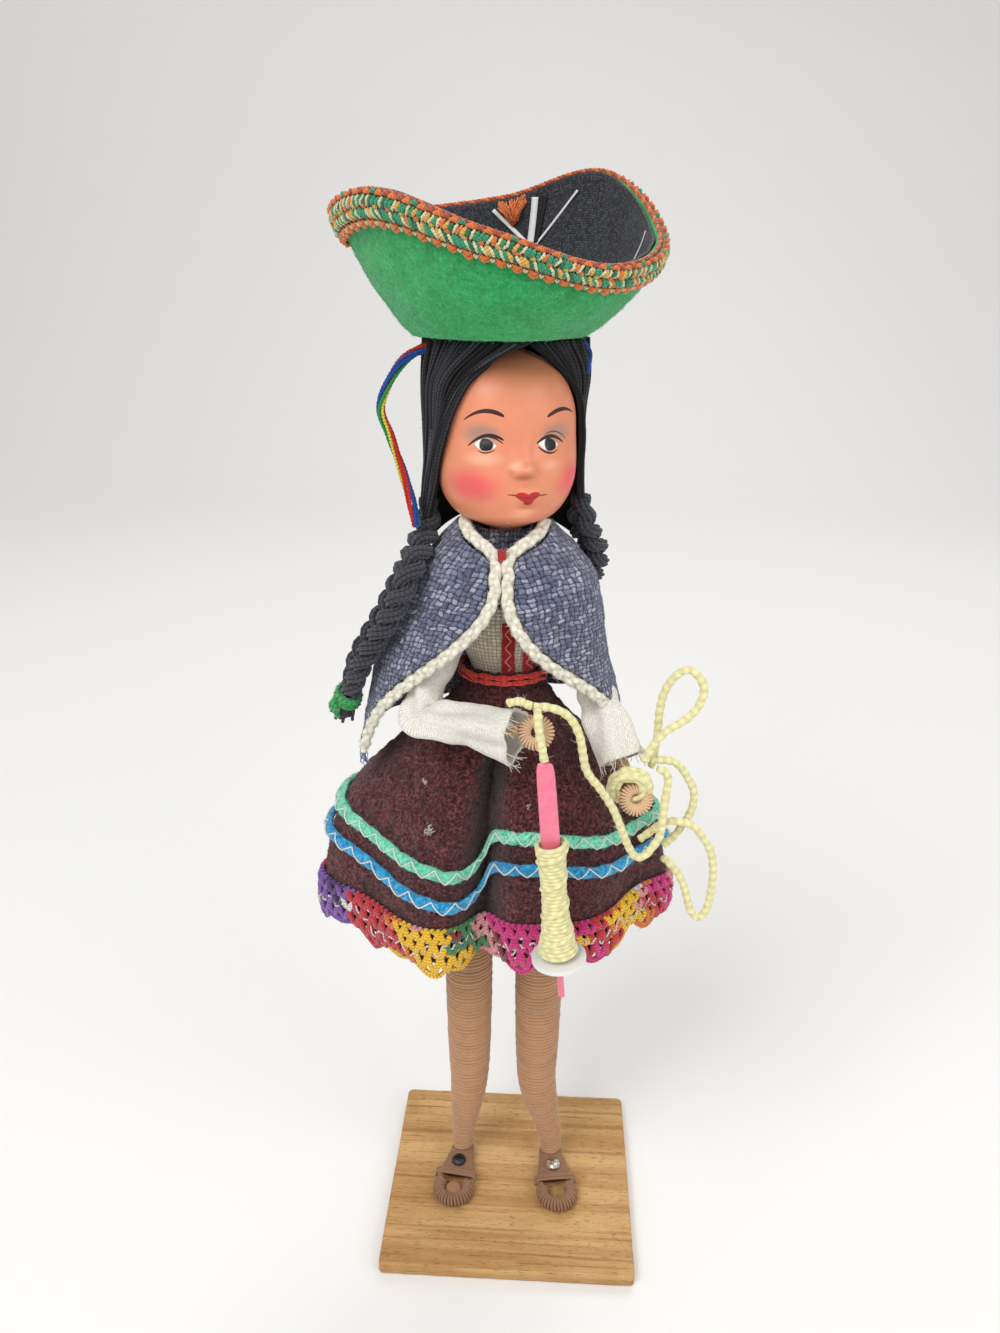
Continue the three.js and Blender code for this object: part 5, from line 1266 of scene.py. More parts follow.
class DOLL_OT_arms(bpy.types.Operator):
    """Forearms and hands of wire bound with thread, and the yarn wound round a wrist"""

    bl_idname = "doll.arms"
    bl_label = "Arms and hands"

    def execute(self, context):
        thread = yarn_finish("Arm thread", paint("eec79e"), shade=0.4, sheen=0.2, relief=0.05, wave=0)
        inner = plain_finish("Arm lining", paint("b5835e"), 0.9)
        wool = bpy.data.materials["Spun wool"]
        for side, hand, elbow, facing in (
            ("right", RIGHT_HAND, RIGHT_ELBOW, Vector((0.1, 0.85, -0.5))),
            ("left", LEFT_HAND, LEFT_ELBOW, Vector((-0.1, 1, -0.3))),
        ):
            body = f"{side}_forearm"
            way = (hand - elbow).normalized()
            end = hand - way * 4.4
            limb = [elbow.lerp(end, k / 20) for k in range(21)]
            bound = helix(limb, lambda share: 1.42, 0.55, 12, seed=2)
            stands_for = [f"forearm_{side}"]
            strung(f"arm_thread_{side}", [bound], 0.3, 6, thread, body, stands_for, "arm_thread")

            def core(u, v, limb=limb, way=way):
                aside = way.orthogonal().normalized()
                over = way.cross(aside)
                centre = limb[0].lerp(limb[-1], v)
                return centre + 1.4 * turned(TURN * u, aside, over)

            piece(f"arm_core_{side}", surface(12, 6, core, joined=True), inner, body)
            facing.normalize()
            across = facing.orthogonal().normalized()
            up = facing.cross(across)
            ring = []
            for k in range(61):
                angle = TURN * k / 60
                ring.append(hand + 2.95 * turned(angle, across, up))
            wound = helix(ring, lambda share: (1.4, 1.35), 0.66, 14, wobble=0.07, seed=3, side=facing)
            stands_for = [f"hand_loop_{side}"]
            strung(f"hand_thread_{side}", [wound], 0.33, 6, thread, body, stands_for, "arm_thread")

            def eye(u, v, hand=hand, across=across, up=up, facing=facing):
                out = turned(TURN * u, across, up)
                return hand + out * (2.95 + 1.25 * math.cos(TURN * v)) + facing * 1.2 * math.sin(TURN * v)

            made = surface(40, 12, eye)
            bmesh.ops.recalc_face_normals(made, faces=made.faces)
            piece(f"hand_core_{side}", made, inner, body)
        noise.seed_set(DRIFT_SEED)
        turns = []
        for layer, (size, count) in enumerate(((4.5, 5), (3.6, 4), (5.0, 2))):  # radius and turns
            wound = []
            for k in range(count * 24 + 1):
                angle, share = TURN * k / 24, k / (count * 24)
                sway = noise.noise_vector(Vector((k / 17, layer * 5, 0)))
                lean = (COIL_FACING + 0.22 * sway).normalized()
                aside = lean.cross(UP).normalized()
                reach = size + 0.7 * sway.x
                centre = COIL_MIDDLE + COIL_FACING * lerp(-1.1, 1.1, share)
                wound.append(centre + reach * turned(angle, aside, lean.cross(aside)))
            turns += plies(smooth_line(wound[::2], 0.5), 0.32, 9)
        coil = ["wrist_coil", "wrist_core"]
        strung("wrist_yarn", turns, 0.72, 8, wool, "left_forearm", coil, "spun_yarn")
        return {"FINISHED"}


SPINDLE_TOP = Vector((7.9, -32, 175))
SPINDLE_WAY = Vector((math.sin(math.radians(5)), 0, -math.cos(math.radians(5))))


class DOLL_OT_spindle(bpy.types.Operator):
    """Drop spindle: flat stick, whorl and a cop of wound yarn"""

    bl_idname = "doll.spindle"
    bl_label = "Spindle"

    def execute(self, context):
        wool = bpy.data.materials["Spun wool"]
        axis = [SPINDLE_TOP + SPINDLE_WAY * lerp(22.6, 55.3, k / 40) for k in range(41)]
        outline = [(0, 4.2), (0.33, 3.4), (0.66, 3.7), (1, 5.3)]
        top = helix(axis, lambda s: along(outline, s) - 0.6, 1.1, 20, wobble=0.14, seed=12, side=ACROSS)
        over = helix(axis[::-1], lambda s: along(outline, 1 - s) - 0.3, 7.5, 28, wobble=0.15, seed=13)
        cop = ["cop_winding", "cop_core"]
        strung("cop_yarn", [top, over], 0.62, 8, wool, "spindle", cop, "spun_yarn")

        def core(u, v):
            angle = TURN * u
            reach = along(outline, v) - 1.9
            out = Vector((math.cos(angle), math.sin(angle), 0))
            return SPINDLE_TOP + SPINDLE_WAY * lerp(24.3, 55.9, v) + out * reach

        piece("cop_middle", surface(16, 12, core, joined=True), wool, "spindle")
        made = Finish("Stick plastic", 0.25, Coat_Weight=0.35, Coat_Roughness=0.15)
        x, _, _ = made.parts(made.place(uv=True))
        # Painted highlight: the stick's two narrow edges are made a lighter pink.
        rim = made.math("PINGPONG", x, 0.25)
        pink = made.mix(made.noise(3, 4, 0.6), paint("e0607e"), paint("f0869d"))
        pink = made.mix(made.spread(rim, 0.045, 0.02), pink, paint("f6b3c6"))
        pink = made.done(pink, made.bump(made.noise(0.9, 3), 0.03))
        wide = [(0, 1.5), (0.012, 1.9), (0.035, 2.2), (0.1, 2.35), (0.35, 2.3), (0.37, 1.6)]
        wide += [(0.4, 0.9), (1, 0.9)]
        deep = [(0, 0.5), (0.015, 0.85), (0.04, 1.05), (0.35, 1.05), (0.4, 0.9), (0.985, 0.9), (1, 0.6)]

        def stick(u, v):
            angle = TURN * u
            square = (abs(math.cos(angle)) ** 6 + abs(math.sin(angle)) ** 6) ** (-1 / 6) if v < 0.37 else 1
            out = Vector((math.cos(angle) * along(wide, v), math.sin(angle) * along(deep, v), 0))
            out.x *= lerp(1, square, 0.6)
            return SPINDLE_TOP + SPINDLE_WAY * 70 * v + out * (1 if 0 < v < 1 else 0.6)

        shape = surface(32, 180, stick, joined=True)
        piece("stick", shape, pink, "spindle", ["spindle_stick"])
        refinish("whorl_disc", plain_finish("Whorl plastic", paint("e9e8e4"), 0.3, 0.05))
        return {"FINISHED"}


class DOLL_OT_cape(bpy.types.Operator):
    """Tweed cape, edged with a cream chain"""

    bl_idname = "doll.cape"
    bl_label = "Cape"

    def execute(self, context):
        blues = (paint("343851"), paint("74789a"), paint("c3c4d8"))
        # Dark navy painted shade for the gaps between the tweed's threads.
        navy_gap_shade = paint("15172a")
        tweed = cloth_finish("Cape tweed", blues, 1.3, 0.7, wander=1.0, gap_shade=navy_gap_shade, contrast=0.85, sheen=0.35)
        middle = (BODY.x - 2, BODY.y, 195)
        gape = lambda v: math.radians(along(CAPE_OPENING, v))

        def spot(u, v):
            return cape_point(lerp(gape(v), TURN - gape(v), u), v)

        def grain(u, v):
            long, turn = 34 + 62 * v, 0.35 * (u - 0.5) * (TURN - 2 * gape(v)) + 0.8
            return (long * math.sin(turn), long * math.cos(turn))

        bm = surface(200, 84, spot, grain, about=middle)
        cloth = area_of(bm)
        cape = piece("cape_cloth", lumps(bm, 0.5, 5), tweed, "doll_body", ["cape"])
        thicken(cape, 1.3)

        def neck(u, v):
            wide, deep = lerp(9.4, 7.2, v), lerp(8.6, 6.6, v)
            turn = TURN * u
            return Vector((BODY.x + wide * math.cos(turn), BODY.y + deep * math.sin(turn), lerp(204, 224.4, v)))

        bm = surface(60, 24, neck, (52, 20), about=(BODY.x, BODY.y, 214))
        collar = piece("cape_collar", lumps(bm, 0.5, 3), tweed, "doll_body")
        thicken(collar, 0.7)
        cream = yarn_finish("Cream wool", paint("f4efdc"), shade=0.25, twist=1.8, sheen=0.5, relief=0.15)
        trims = [collar]
        for side, sign in (("right", -1), ("left", 1)):
            line = even(cape_edge(sign), 0.4)
            out = (line[len(line) // 2] - Vector(middle)).normalized()
            across = (line[-1] - line[0]).cross(out).normalized()
            strands = braid(line, across, 0.75, 0.5, 12)
            name, edging = f"cape_braid_{side}", [f"cape_edging_{side}"]
            trim = strung(name, strands, 0.86, 8, cream, "doll_body", edging, "cream_wool")
            name, seed = f"cape_braid_fuzz_{side}", 21 + sign
            fuzz = fibres(name, [trim], 3200, 1.4, cream, "doll_body", seed, radius=0.05, lie=0.6)
            trims += [trim, fuzz]
        ends = []
        dice = random.Random(31)
        for k in range(16):
            start = cape_point(math.radians(-72 + dice.uniform(-1, 5)), 0.995, -0.5 + dice.uniform(-0.4, 0.4))
            steps = [start]
            for _ in range(4):
                step = (dice.uniform(-0.5, 0.9), dice.uniform(-0.5, 0.3), -dice.uniform(0.6, 2))
                steps.append(steps[-1] + Vector(step))
            ends.append(smooth_line(steps, 0.5))
        tweed_hair = plain_finish("Tweed hairs", paint("7a80aa"), 0.95)
        trims.append(strung("cape_loose_threads", ends, 0.13, 4, tweed_hair, "doll_body"))
        trims.append(fibres("cape_fuzz", [cape], 4200, 1.3, tweed_hair, "doll_body", 5, radius=0.04, lie=0.75))
        red = yarn_finish("Cape stitch", paint("b8252a"), twist=0.8)
        left, right = cape_edge(1), cape_edge(-1)
        high = int(len(left) * 0.87)
        a, b = right[high], left[high]
        middle = (a + b) / 2 + Vector((0, -1.1, 0))
        sews = []
        for k in range(6):
            top = middle + Vector((0.35 * (k - 2.5), -0.15 * (k % 2), 1.8 + 0.3 * (k % 3)))
            bow = middle + Vector((0.3 * (k - 2.5), -0.5, 0))
            sews.append(smooth_line([top, bow, top - UP * (3.4 + 0.4 * (k % 2))], 0.4))
        trims.append(strung("cape_stitch", sews, 0.28, 6, red, "doll_body"))
        ring = lambda v: [spot(k / 300, v) for k in range(301)]
        wide = max(line_length(ring(v)) for v in (0.6, 0.75, 0.9, 1))
        down = [cape_point(math.pi, k / 50) for k in range(51)]
        1.1 * line_length(down) * MM
        return {"FINISHED"}


# Reach of the head's outline to the side, front and back, as (share of its height, share of its size).
HEAD_WIDE = [
    *[(0, 0.4), (0.06, 0.7), (0.13, 0.86), (0.22, 0.96), (0.34, 1.01)],
    *[(0.52, 1), (0.7, 0.96), (0.86, 0.78), (0.95, 0.5), (1, 0.22)],
]
HEAD_FRONT = [
    *[(0, 0.5), (0.06, 0.82), (0.13, 0.93), (0.24, 1), (0.36, 1)],
    *[(0.52, 0.97), (0.7, 0.95), (0.86, 0.8), (0.95, 0.52), (1, 0.22)],
]
HEAD_BACK = [
    *[(0, 0.35), (0.07, 0.6), (0.18, 0.8), (0.33, 0.92), (0.52, 1)],
    *[(0.7, 0.98), (0.86, 0.82), (0.95, 0.54), (1, 0.22)],
]
HEAD_LOW, HEAD_TALL = -1.2, 42.2
HEAD_PLACE = Matrix.Translation((-3.8, 5, CHIN)) @ Matrix.Rotation(math.radians(12), 4, "Z")
HEAD_MIDDLE = Vector((0, 0, 21))


def head_point(degrees, height, grow=0.0):
    """The head's surface in its own frame, at an angle from the front and a height above the chin."""
    angle, share = math.radians(degrees), min(max((height - HEAD_LOW) / HEAD_TALL, 0), 1)
    wide = 17.4 * along(HEAD_WIDE, share) + grow
    deep = (16.8 * along(HEAD_FRONT, share) if math.cos(angle) > 0 else 17.5 * along(HEAD_BACK, share)) + grow
    return Vector((wide * math.sin(angle), -deep * math.cos(angle), height))


class DOLL_OT_head(bpy.types.Operator):
    """Head with a modelled nose and chin and a painted face"""

    bl_idname = "doll.head"
    bl_label = "Head and face"

    def execute(self, context):
        made = Finish("Painted face", 0.42, Specular_IOR_Level=0.4, Coat_Weight=0.12, Coat_Roughness=0.35)
        x, y, _ = made.parts(made.place(uv=True))

        def blob(cx, cy, rx, ry, inner=0.85, outer=1.1):
            dx = made.math("DIVIDE", made.math("SUBTRACT", x, cx), rx)
            dy = made.math("DIVIDE", made.math("SUBTRACT", y, cy), ry)
            square = made.math("ADD", made.math("MULTIPLY", dx, dx), made.math("MULTIPLY", dy, dy))
            return made.spread(made.math("SQRT", square), outer, inner)

        def curve(points):
            fit = [float(k) for k in np.polyfit([p[0] for p in points], [p[1] for p in points], 2)]
            slope = made.math("ADD", made.math("MULTIPLY", x, fit[0]), fit[1])
            return made.math("ADD", made.math("MULTIPLY", slope, x), fit[2])

        def stroke(points, width, heavy=0.0):
            start, end = points[0][0], points[-1][0]
            t = made.math("DIVIDE", made.math("SUBTRACT", x, (start + end) / 2), (end - start) / 2)
            room = made.math("MAXIMUM", made.math("SUBTRACT", 1, made.math("MULTIPLY", t, t)), 0)
            thick = made.math("MULTIPLY", made.math("POWER", room, 0.3), width)
            thick = made.math("MULTIPLY", thick, made.math("ADD", 1, made.math("MULTIPLY", t, heavy)))
            away = made.math("ABSOLUTE", made.math("SUBTRACT", y, curve(points)))
            mask = made.spread(made.math("SUBTRACT", thick, away), -0.07, 0.07)
            return made.math("MULTIPLY", mask, made.spread(room, 0, 0.08))

        def almond(left, right, up, down):
            middle = ((left[0] + right[0]) / 2, (left[1] + right[1]) / 2)
            over = made.math("SUBTRACT", curve([left, (middle[0], middle[1] + up), right]), y)
            below = made.math("SUBTRACT", y, curve([left, (middle[0], middle[1] - down), right]))
            return made.spread(made.math("MINIMUM", over, below), -0.06, 0.1)

        tone = made.noise(5, 3, 0.5)
        colour = made.mix(tone, paint("da825f"), paint("e49370"))
        painted = [
            (blob(2, 37, 14, 9, 0.2, 1), "c97e5b", 0.5),
            # Painted highlights: pale patches under both eyes and on the nose.
            (blob(-8.2, 17.2, 7.0, 2.4, 0, 1), "f5c3ab", 0.5),
            (blob(-0.6, 15.6, 2.4, 1.4, 0, 1), "f6c8ac", 0.3),
            (blob(2.4, 15.2, 1.8, 1.2, 0, 1), "f6c0a4", 0.3),
            (blob(8.6, 15.4, 4.0, 2.2, 0, 1), "f5c3ab", 0.35),
            (blob(2.2, 4.2, 6, 2.2, 0, 1), "e2a181", 0.5),
            (blob(-11.2, 10.6, 9.6, 5.2, 0.2, 1.1), "e24c5a", 0.78),
            (blob(18.2, 10.8, 9.0, 5.6, 0.25, 1.1), "e4505e", 0.92),
            (blob(-8.8, 22.7, 6.6, 3.6, 0.25, 1), "928378", 0.7),
            (blob(11.0, 22.6, 6.6, 3.4, 0.25, 1), "928378", 0.7),
            # Painted shade under and beside the nose, and under the lower lip.
            (blob(1.4, 12.9, 3.2, 1.1, 0, 1), "a4603f", 0.65),
            (blob(-1.6, 14.0, 0.9, 1.3, 0, 1), "b8714f", 0.4),
            (blob(2.9, 5.4, 3.4, 0.8, 0, 1), "b06a4c", 0.5),
        ]
        eyes = [
            ((-10.5, 20.4), (-4.9, 20.1), 1.55, 1.3, (-7.4, 20.45), (1.8, 1.85)),
            ((5.4, 20.5), (11.4, 19.9), 1.5, 1.6, (8.9, 20.15), (1.85, 1.95)),
        ]
        for left, right, up, down, centre, size in eyes:
            shape = almond(left, right, up, down)
            painted.append((shape, "ece6e2", 1.0))
            ring = made.math("MULTIPLY", blob(*centre, *size), shape)
            painted.append((ring, "100c0c", 1.0))
            shine = blob(centre[0] - 0.9, centre[1] - 0.6, 0.35, 0.5, 0.2, 1.1)
            painted.append((made.math("MULTIPLY", shine, shape), "5c5856", 0.6))
            pupil = blob(centre[0] + 0.1, centre[1] + 0.1, size[0] * 0.62, size[1] * 0.62)
            painted.append((made.math("MULTIPLY", pupil, shape), "080707", 1.0))
        strokes = [
            ([(-12.2, 19.8), (-8.2, 22.3), (-3.1, 21.5)], 0.42, 0.1, "2a100e"),
            ([(-7.0, 22.1), (-5.2, 21.8), (-3.3, 20.7)], 0.2, 0.0, "2f1512"),
            ([(-9.4, 18.95), (-7.3, 18.55), (-5.2, 19.4)], 0.16, 0.0, "33201c"),
            ([(4.9, 20.5), (8.7, 22.0), (13.4, 20.1)], 0.42, -0.1, "2a100e"),
            ([(7.0, 22.4), (10.2, 23.0), (14.6, 20.8)], 0.15, 0.0, "4a2621"),
            ([(5.3, 19.8), (8.0, 18.25), (11.2, 18.8)], 0.24, -0.5, "150b0a"),
            ([(-13.5, 25.7), (-8.2, 28.1), (-3.1, 27.0)], 0.47, 0.4, "3c0f12"),
            ([(7.6, 26.6), (12.6, 28.0), (18.4, 26.6)], 0.45, -0.35, "3c0f12"),
            ([(-2.5, 8.9), (2.9, 8.5), (8.3, 8.3)], 0.2, 0.0, "6d1a17"),
        ]
        for points, width, heavy, code in strokes:
            painted.append((stroke(points, width, heavy), code, 1.0))
        lips = ((1.1, 8.6, 1.6, 0.85), (4.3, 8.55, 1.6, 0.85), (2.7, 7.9, 2.3, 0.95), (2.9, 7.1, 1.35, 1.05))
        for spot in lips:
            painted.append((blob(*spot), "b51c1d", 1.0))
        painted.append((stroke([(0.2, 8.45), (2.8, 7.95), (5.6, 8.4)], 0.12), "701012", 0.8))
        painted.append((blob(-2.4, 1.3, 0.25, 0.25), "f0ddcf", 0.9))
        for mask, code, strength in painted:
            colour = made.mix(made.math("MULTIPLY", mask, strength), colour, paint(code))
        grime = made.spread(made.noise(1.3, 4, 0.7), 0.6, 0.85)
        colour = made.mix(made.math("MULTIPLY", grime, 0.12), colour, paint("8c5640"))
        face = made.done(colour, made.bump(made.noise(0.8, 4, 0.6), 0.03))

        def hill(x, y, cx, cy, rx, ry):
            return math.exp(-(((x - cx) / rx) ** 2) - ((y - cy) / ry) ** 2)

        def spot(u, v):
            degrees = 360 * (u - 0.5)
            height = HEAD_TALL * v + HEAD_LOW
            x, y = 0.3 * degrees, height
            out = 0.0
            if abs(degrees) < 120:
                out += 2.3 * hill(x, y, 1.7, 14.7, 2.2, 1.7) + 0.6 * hill(x, y, 1.6, 18.0, 1.8, 3.2)
                out += 0.6 * hill(x, y, -0.5, 13.9, 1.1, 1.1) + 0.6 * hill(x, y, 3.9, 13.8, 1.1, 1.1)
                out += 0.5 * hill(x, y, 1.5, 8.8, 1.7, 1.0) + 0.5 * hill(x, y, 4.3, 8.8, 1.7, 1.0)
                out += 0.55 * hill(x, y, 2.9, 7.2, 2.0, 0.9) - 0.45 * hill(x, y, 2.9, 5.2, 2.8, 1.0)
                out += 0.7 * hill(x, y, 2.4, 2.6, 4.0, 2.0) + 0.6 * hill(x, y, -9, 11.5, 5.5, 4.0)
                out += 0.6 * hill(x, y, 15.5, 11.0, 5.5, 4.0)
                out -= 0.9 * hill(x, y, -7.4, 21.6, 4.6, 2.6) + 0.9 * hill(x, y, 9.2, 21.2, 4.6, 2.6)
                out += 0.45 * hill(x, y, -7.6, 20.4, 2.6, 1.5) + 0.45 * hill(x, y, 8.8, 20.1, 2.6, 1.5)
                out -= 0.35 * hill(x, y, -1.6, 19.8, 1.4, 1.8) + 0.35 * hill(x, y, 4.6, 19.6, 1.4, 1.8)
            return HEAD_PLACE @ head_point(degrees, height, out)

        size = lambda u, v: (0.3 * 360 * (u - 0.5), HEAD_TALL * v + HEAD_LOW)
        bm = surface(300, 160, spot, size, joined=True)
        piece("head_face", bm, face, "head", ["head"])
        refinish("neck_post", plain_finish("Neck paint", paint("cf8a68"), 0.5))
        return {"FINISHED"}


# Locks of hair from front to back, each as (degrees from the front, distance from the axis, height);
# without a distance the hair lies on the head.
HAIR_GUIDES = {
    "right": [
        [
            *[(27, 8, 42.5), (-20, None, 39.8), (-42, None, 35), (-52, None, 28.5)],
            *[(-64, None, 19), (-78, None, 9), (-91, 20.6, -3)],
        ],
        [
            *[(-35, 18, 43.5), (-62, 19.4, 34), (-70, None, 25.5)],
            *[(-78, None, 17.5), (-87, 20.4, 8), (-94, 20.8, -3.5)],
        ],
        [(-85, 20, 43.5), (-88, 20.5, 34), (-91, 20.5, 25), (-94, 20.3, 16), (-96, 20.6, 6), (-97, 20.8, -4)],
        [
            *[(-130, 20, 43.5), (-128, 20.5, 33), (-124, 20.4, 23)],
            *[(-114, 19.8, 13), (-106, 20.2, 4), (-100, 20.6, -4.4)],
        ],
        [
            *[(-178, 19.5, 43.5), (-173, 20, 31), (-161, 19.6, 19)],
            *[(-136, 18.4, 10), (-116, 19.4, 2), (-103, 20.4, -5)],
        ],
        [(-181, 19.8, 28), (-168, 19.8, 22), (-146, 19.2, 13), (-122, 19.4, 3.5), (-104, 20.3, -5.2)],
        [(-181, 19, 13), (-166, 18.8, 9), (-142, 18.4, 3.5), (-120, 19, -1), (-105, 20, -5.6)],
        [(-181, 16.5, 1), (-163, 16.6, -0.5), (-140, 17.2, -2.5), (-120, 18.6, -4.4), (-106, 19.8, -6)],
    ],
    "left": [
        [(31, 8, 42.5), (57, None, 38.6), (76, None, 31), (79, None, 22), (84, None, 10.5), (90, 20.2, -3)],
        [(60, 18, 43.5), (78, 19.6, 35), (86, None, 26), (87, None, 17), (90, 20, 7), (93, 20.2, -3.5)],
        [(92, 20, 43.5), (95, 20.3, 34), (96, 20.3, 25), (96, 20, 15), (96, 20, 5), (96, 20.2, -4)],
        [(135, 20, 43.5), (132, 20.5, 33), (126, 20.4, 23), (112, 19.6, 13), (104, 19.8, 4), (99, 20, -4.4)],
        [(182, 19.5, 43.5), (176, 20, 31), (164, 19.6, 19), (140, 18.4, 10), (116, 19.2, 2), (102, 20, -5)],
        [(178, 19.8, 28), (168, 19.8, 22), (146, 19.2, 13), (122, 19.2, 3.5), (103, 20, -5.2)],
        [(178, 19, 13), (166, 18.8, 9), (142, 18.4, 3.5), (120, 18.8, -1), (104, 19.8, -5.6)],
        [(178, 16.5, 1), (163, 16.6, -0.5), (140, 17.2, -2.5), (120, 18.4, -4.4), (105, 19.6, -6)],
    ],
}


def hair_lines(side):
    """The guides of one side as lines of 60 steps in the same three measures, degrees in thirds."""
    lines = []
    for guide in HAIR_GUIDES[side]:
        points = []
        for degrees, reach, height in guide:
            on_head = head_point(degrees, height)
            points.append(Vector((degrees / 3, reach or math.hypot(on_head.x, on_head.y) + 1.7, height)))
        line = smooth_line(points, 0.4)
        lines.append([line[round(k * (len(line) - 1) / 60)] for k in range(61)])
    return lines


def hair_point(lines, place, share, lift=0.0):
    """A spot in the hair: place goes from the front lock to the back one, share from root to tip."""
    low = min(int(place), len(lines) - 2)
    step = min(int(share * 60), 59)
    t = share * 60 - step
    degrees, reach, height = lines[low][step].lerp(lines[low][step + 1], t).lerp(
        lines[low + 1][step].lerp(lines[low + 1][step + 1], t), place - low
    )
    head = head_point(degrees * 3, height)
    reach = max(reach, math.hypot(head.x, head.y) + 1.1) + lift
    angle = math.radians(degrees * 3)
    return HEAD_PLACE @ Vector((reach * math.sin(angle), -reach * math.cos(angle), height))


def cape_lie(degrees, share, lift):
    return cape_point(math.radians(degrees), share, 4.35 + lift)


PLAITS = {
    "right": (
        Vector((-0.84, -0.54, 0)),
        [
            *[Vector((-23.4, 3.6, 231)), Vector((-24, 2, 224)), cape_lie(-57, 0.2, 1.6)],
            *[cape_lie(-59, 0.38, 1.2), cape_lie(-66, 0.58, 1.2), cape_lie(-76, 0.76, 1)],
        ],
    ),
    "left": (
        Vector((0.72, 0.69, 0)),
        [
            *[Vector((15.4, 10, 231)), Vector((16.2, 10.6, 224)), cape_lie(122, 0.2, 0.4)],
            *[cape_lie(135, 0.39, 0.4), cape_lie(138, 0.6, 0.8), cape_lie(140, 0.82, 1.5)],
        ],
    ),
}


class DOLL_OT_hair(bpy.types.Operator):
    """Yarn hair that falls from a parting into two plaits with green ties"""

    bl_idname = "doll.hair"
    bl_label = "Hair and plaits"

    def execute(self, context):
        shades = [
            yarn_finish(
                f"Hair {word}", paint(code), shade=0.7, twist=1.0, strands=1, sheen=0.1, relief=0.09, wave=0.22
            )
            for word, code in (("dark", "26262b"), ("middle", "404047"), ("light", "62626a"))
        ]
        # A near-black sheet under the strands: painted shade that darkens the gaps between them.
        gap_shade_sheet = plain_finish("Hair gap shade", paint("101013"), 0.95)
        dice = random.Random(17)
        lines = []
        for side in HAIR_GUIDES:
            guides = hair_lines(side)
            count, back = 124, len(guides) - 1
            for k in range(count):
                astray = dice.uniform(-0.5, 0.5) if k > 2 else 0
                place = min(back * (k + astray) / (count - 1), back)
                lift, seed = dice.uniform(-0.3, 0.5), dice.uniform(0, 99)
                strand = []
                for i in range(46):
                    t = i / 45
                    waver = 0.35 * noise.noise(Vector((t * 3, seed, 0))) + 0.9 * smooth(t, 0.75, 1) * lift
                    strand.append(hair_point(guides, place, t, lift + waver))
                lines.append(strand)
        kinds = [dice.choice((0, 0, 1, 1, 2)) for _ in lines]
        shape = tubes("hair_strands", lines, 0.3, 6, kinds=kinds)
        strands = piece("hair_strands", shape, shades, "head", ["hair_cap"])
        for side in HAIR_GUIDES:
            guides = hair_lines(side)
            back = len(guides) - 1
            # The painted-shade sheet under each side's strands.
            spot = lambda u, v: hair_point(guides, back * u, v, -0.5)
            cap = surface(96, 40, spot, about=HEAD_PLACE @ HEAD_MIDDLE)
            thicken(piece(f"hair_shade_sheet_{side}", cap, gap_shade_sheet, "head"), 0.5)
        grey = plain_finish("Hair fuzz", paint("5a5a60"), 0.95)
        fibres("hair_fuzz", [strands], 900, 1.5, grey, "head", 3, radius=0.03, lie=0.8)
        thick = yarn_finish(
            "Plait yarn", paint("484952"), shade=0.7, twist=1.2, strands=1, sheen=0.2, relief=0.07, wave=0.2
        )
        green = yarn_finish("Tie wool", paint("1fa84e"), shade=0.5, twist=1.5, sheen=0.5)
        for side, (facing, points) in PLAITS.items():
            bend = ("head", "doll_body", (0, 0, 228), (0, 0, 208))
            line = smooth_line(points, 0.7)
            across = (line[-1] - line[0]).cross(facing)
            swell = [(0, 0.3), (0.08, 0.75), (0.22, 1), (0.8, 0.95), (1, 0.6)]
            three = braid(line, across, 2.9, 1.5, 15.5, shape=lambda share: along(swell, share))
            yarns = []
            for n, strand in enumerate(three):
                yarns += plies(strand, 1.3, 60, 7, n)
                yarns.append(strand)
            name, stands_for = f"plait_{side}_yarns", [f"plait_{side}"]
            plait = strung(name, yarns, 0.54, 6, thick, bend, stands_for, "black_yarn")
            fibres(f"plait_{side}_fuzz", [plait], 260, 1.5, grey, bend, 8, radius=0.035, lie=0.7)
            way = (line[-1] - line[-5]).normalized()
            tail = line[-1]
            axis = [tail + way * (0.6 + 3.1 * k / 12) for k in range(13)]
            wound = helix(axis, lambda share: (3.9, 3.3), 1.15, 16, wobble=0.5, seed=4, side=across)
            inner = helix(axis, lambda share: (2.6, 2.2), 1.3, 12, wobble=0.2, seed=5, side=across)
            ends = []
            for k in range(3):
                aside = stray(dice, 1)
                start = axis[6] + facing * 3.2
                low = start + facing * 0.8 + aside * 1.4 - UP * 4.6
                ends.append(smooth_line([start, start + facing * 1.4 + aside * 0.6 - UP * 1.6, low], 0.5))
            tie = [ply for thread in (wound, inner, *ends) for ply in plies(thread, 0.38, 2.6)]
            name, stands_for = f"plait_tie_{side}_wool", [f"plait_tie_{side}"]
            knot = strung(name, tie, 0.5, 6, green, "doll_body", stands_for, "green_wool")
            fibres(f"plait_tie_{side}_fuzz", [knot], 420, 1.3, green, "doll_body", 9, radius=0.04, lie=0.45)
            brush = []
            for _ in range(46):
                out = scatter(dice, 1)
                out = (out - way * out.dot(way)).normalized() * 3.3 * math.sqrt(dice.random())
                long = dice.uniform(4.4, 6.6)
                root = tail + way * 3.2 + out * 0.75
                tip = tail + way * (3.2 + long) + out * 1.1 + scatter(dice, 0.25)
                bow = (root + tip) / 2 + scatter(dice, 0.35)
                brush.append(smooth_line([root, bow, tip], 0.5))
            name, stands_for = f"plait_tuft_{side}_yarn", [f"plait_tuft_{side}"]
            strung(name, brush, 0.46, 6, thick, "doll_body", stands_for, "black_yarn")
        return {"FINISHED"}


RIM_HEIGHTS = [22, 37, 31.5, 28, 26.5, 30, 22, 15.5]  # at each eighth of a turn from +X
HAT_FLOOR, FLOOR_SHARE = 20.5, 0.35  # radius of the hat's flat floor, and its share of the way up


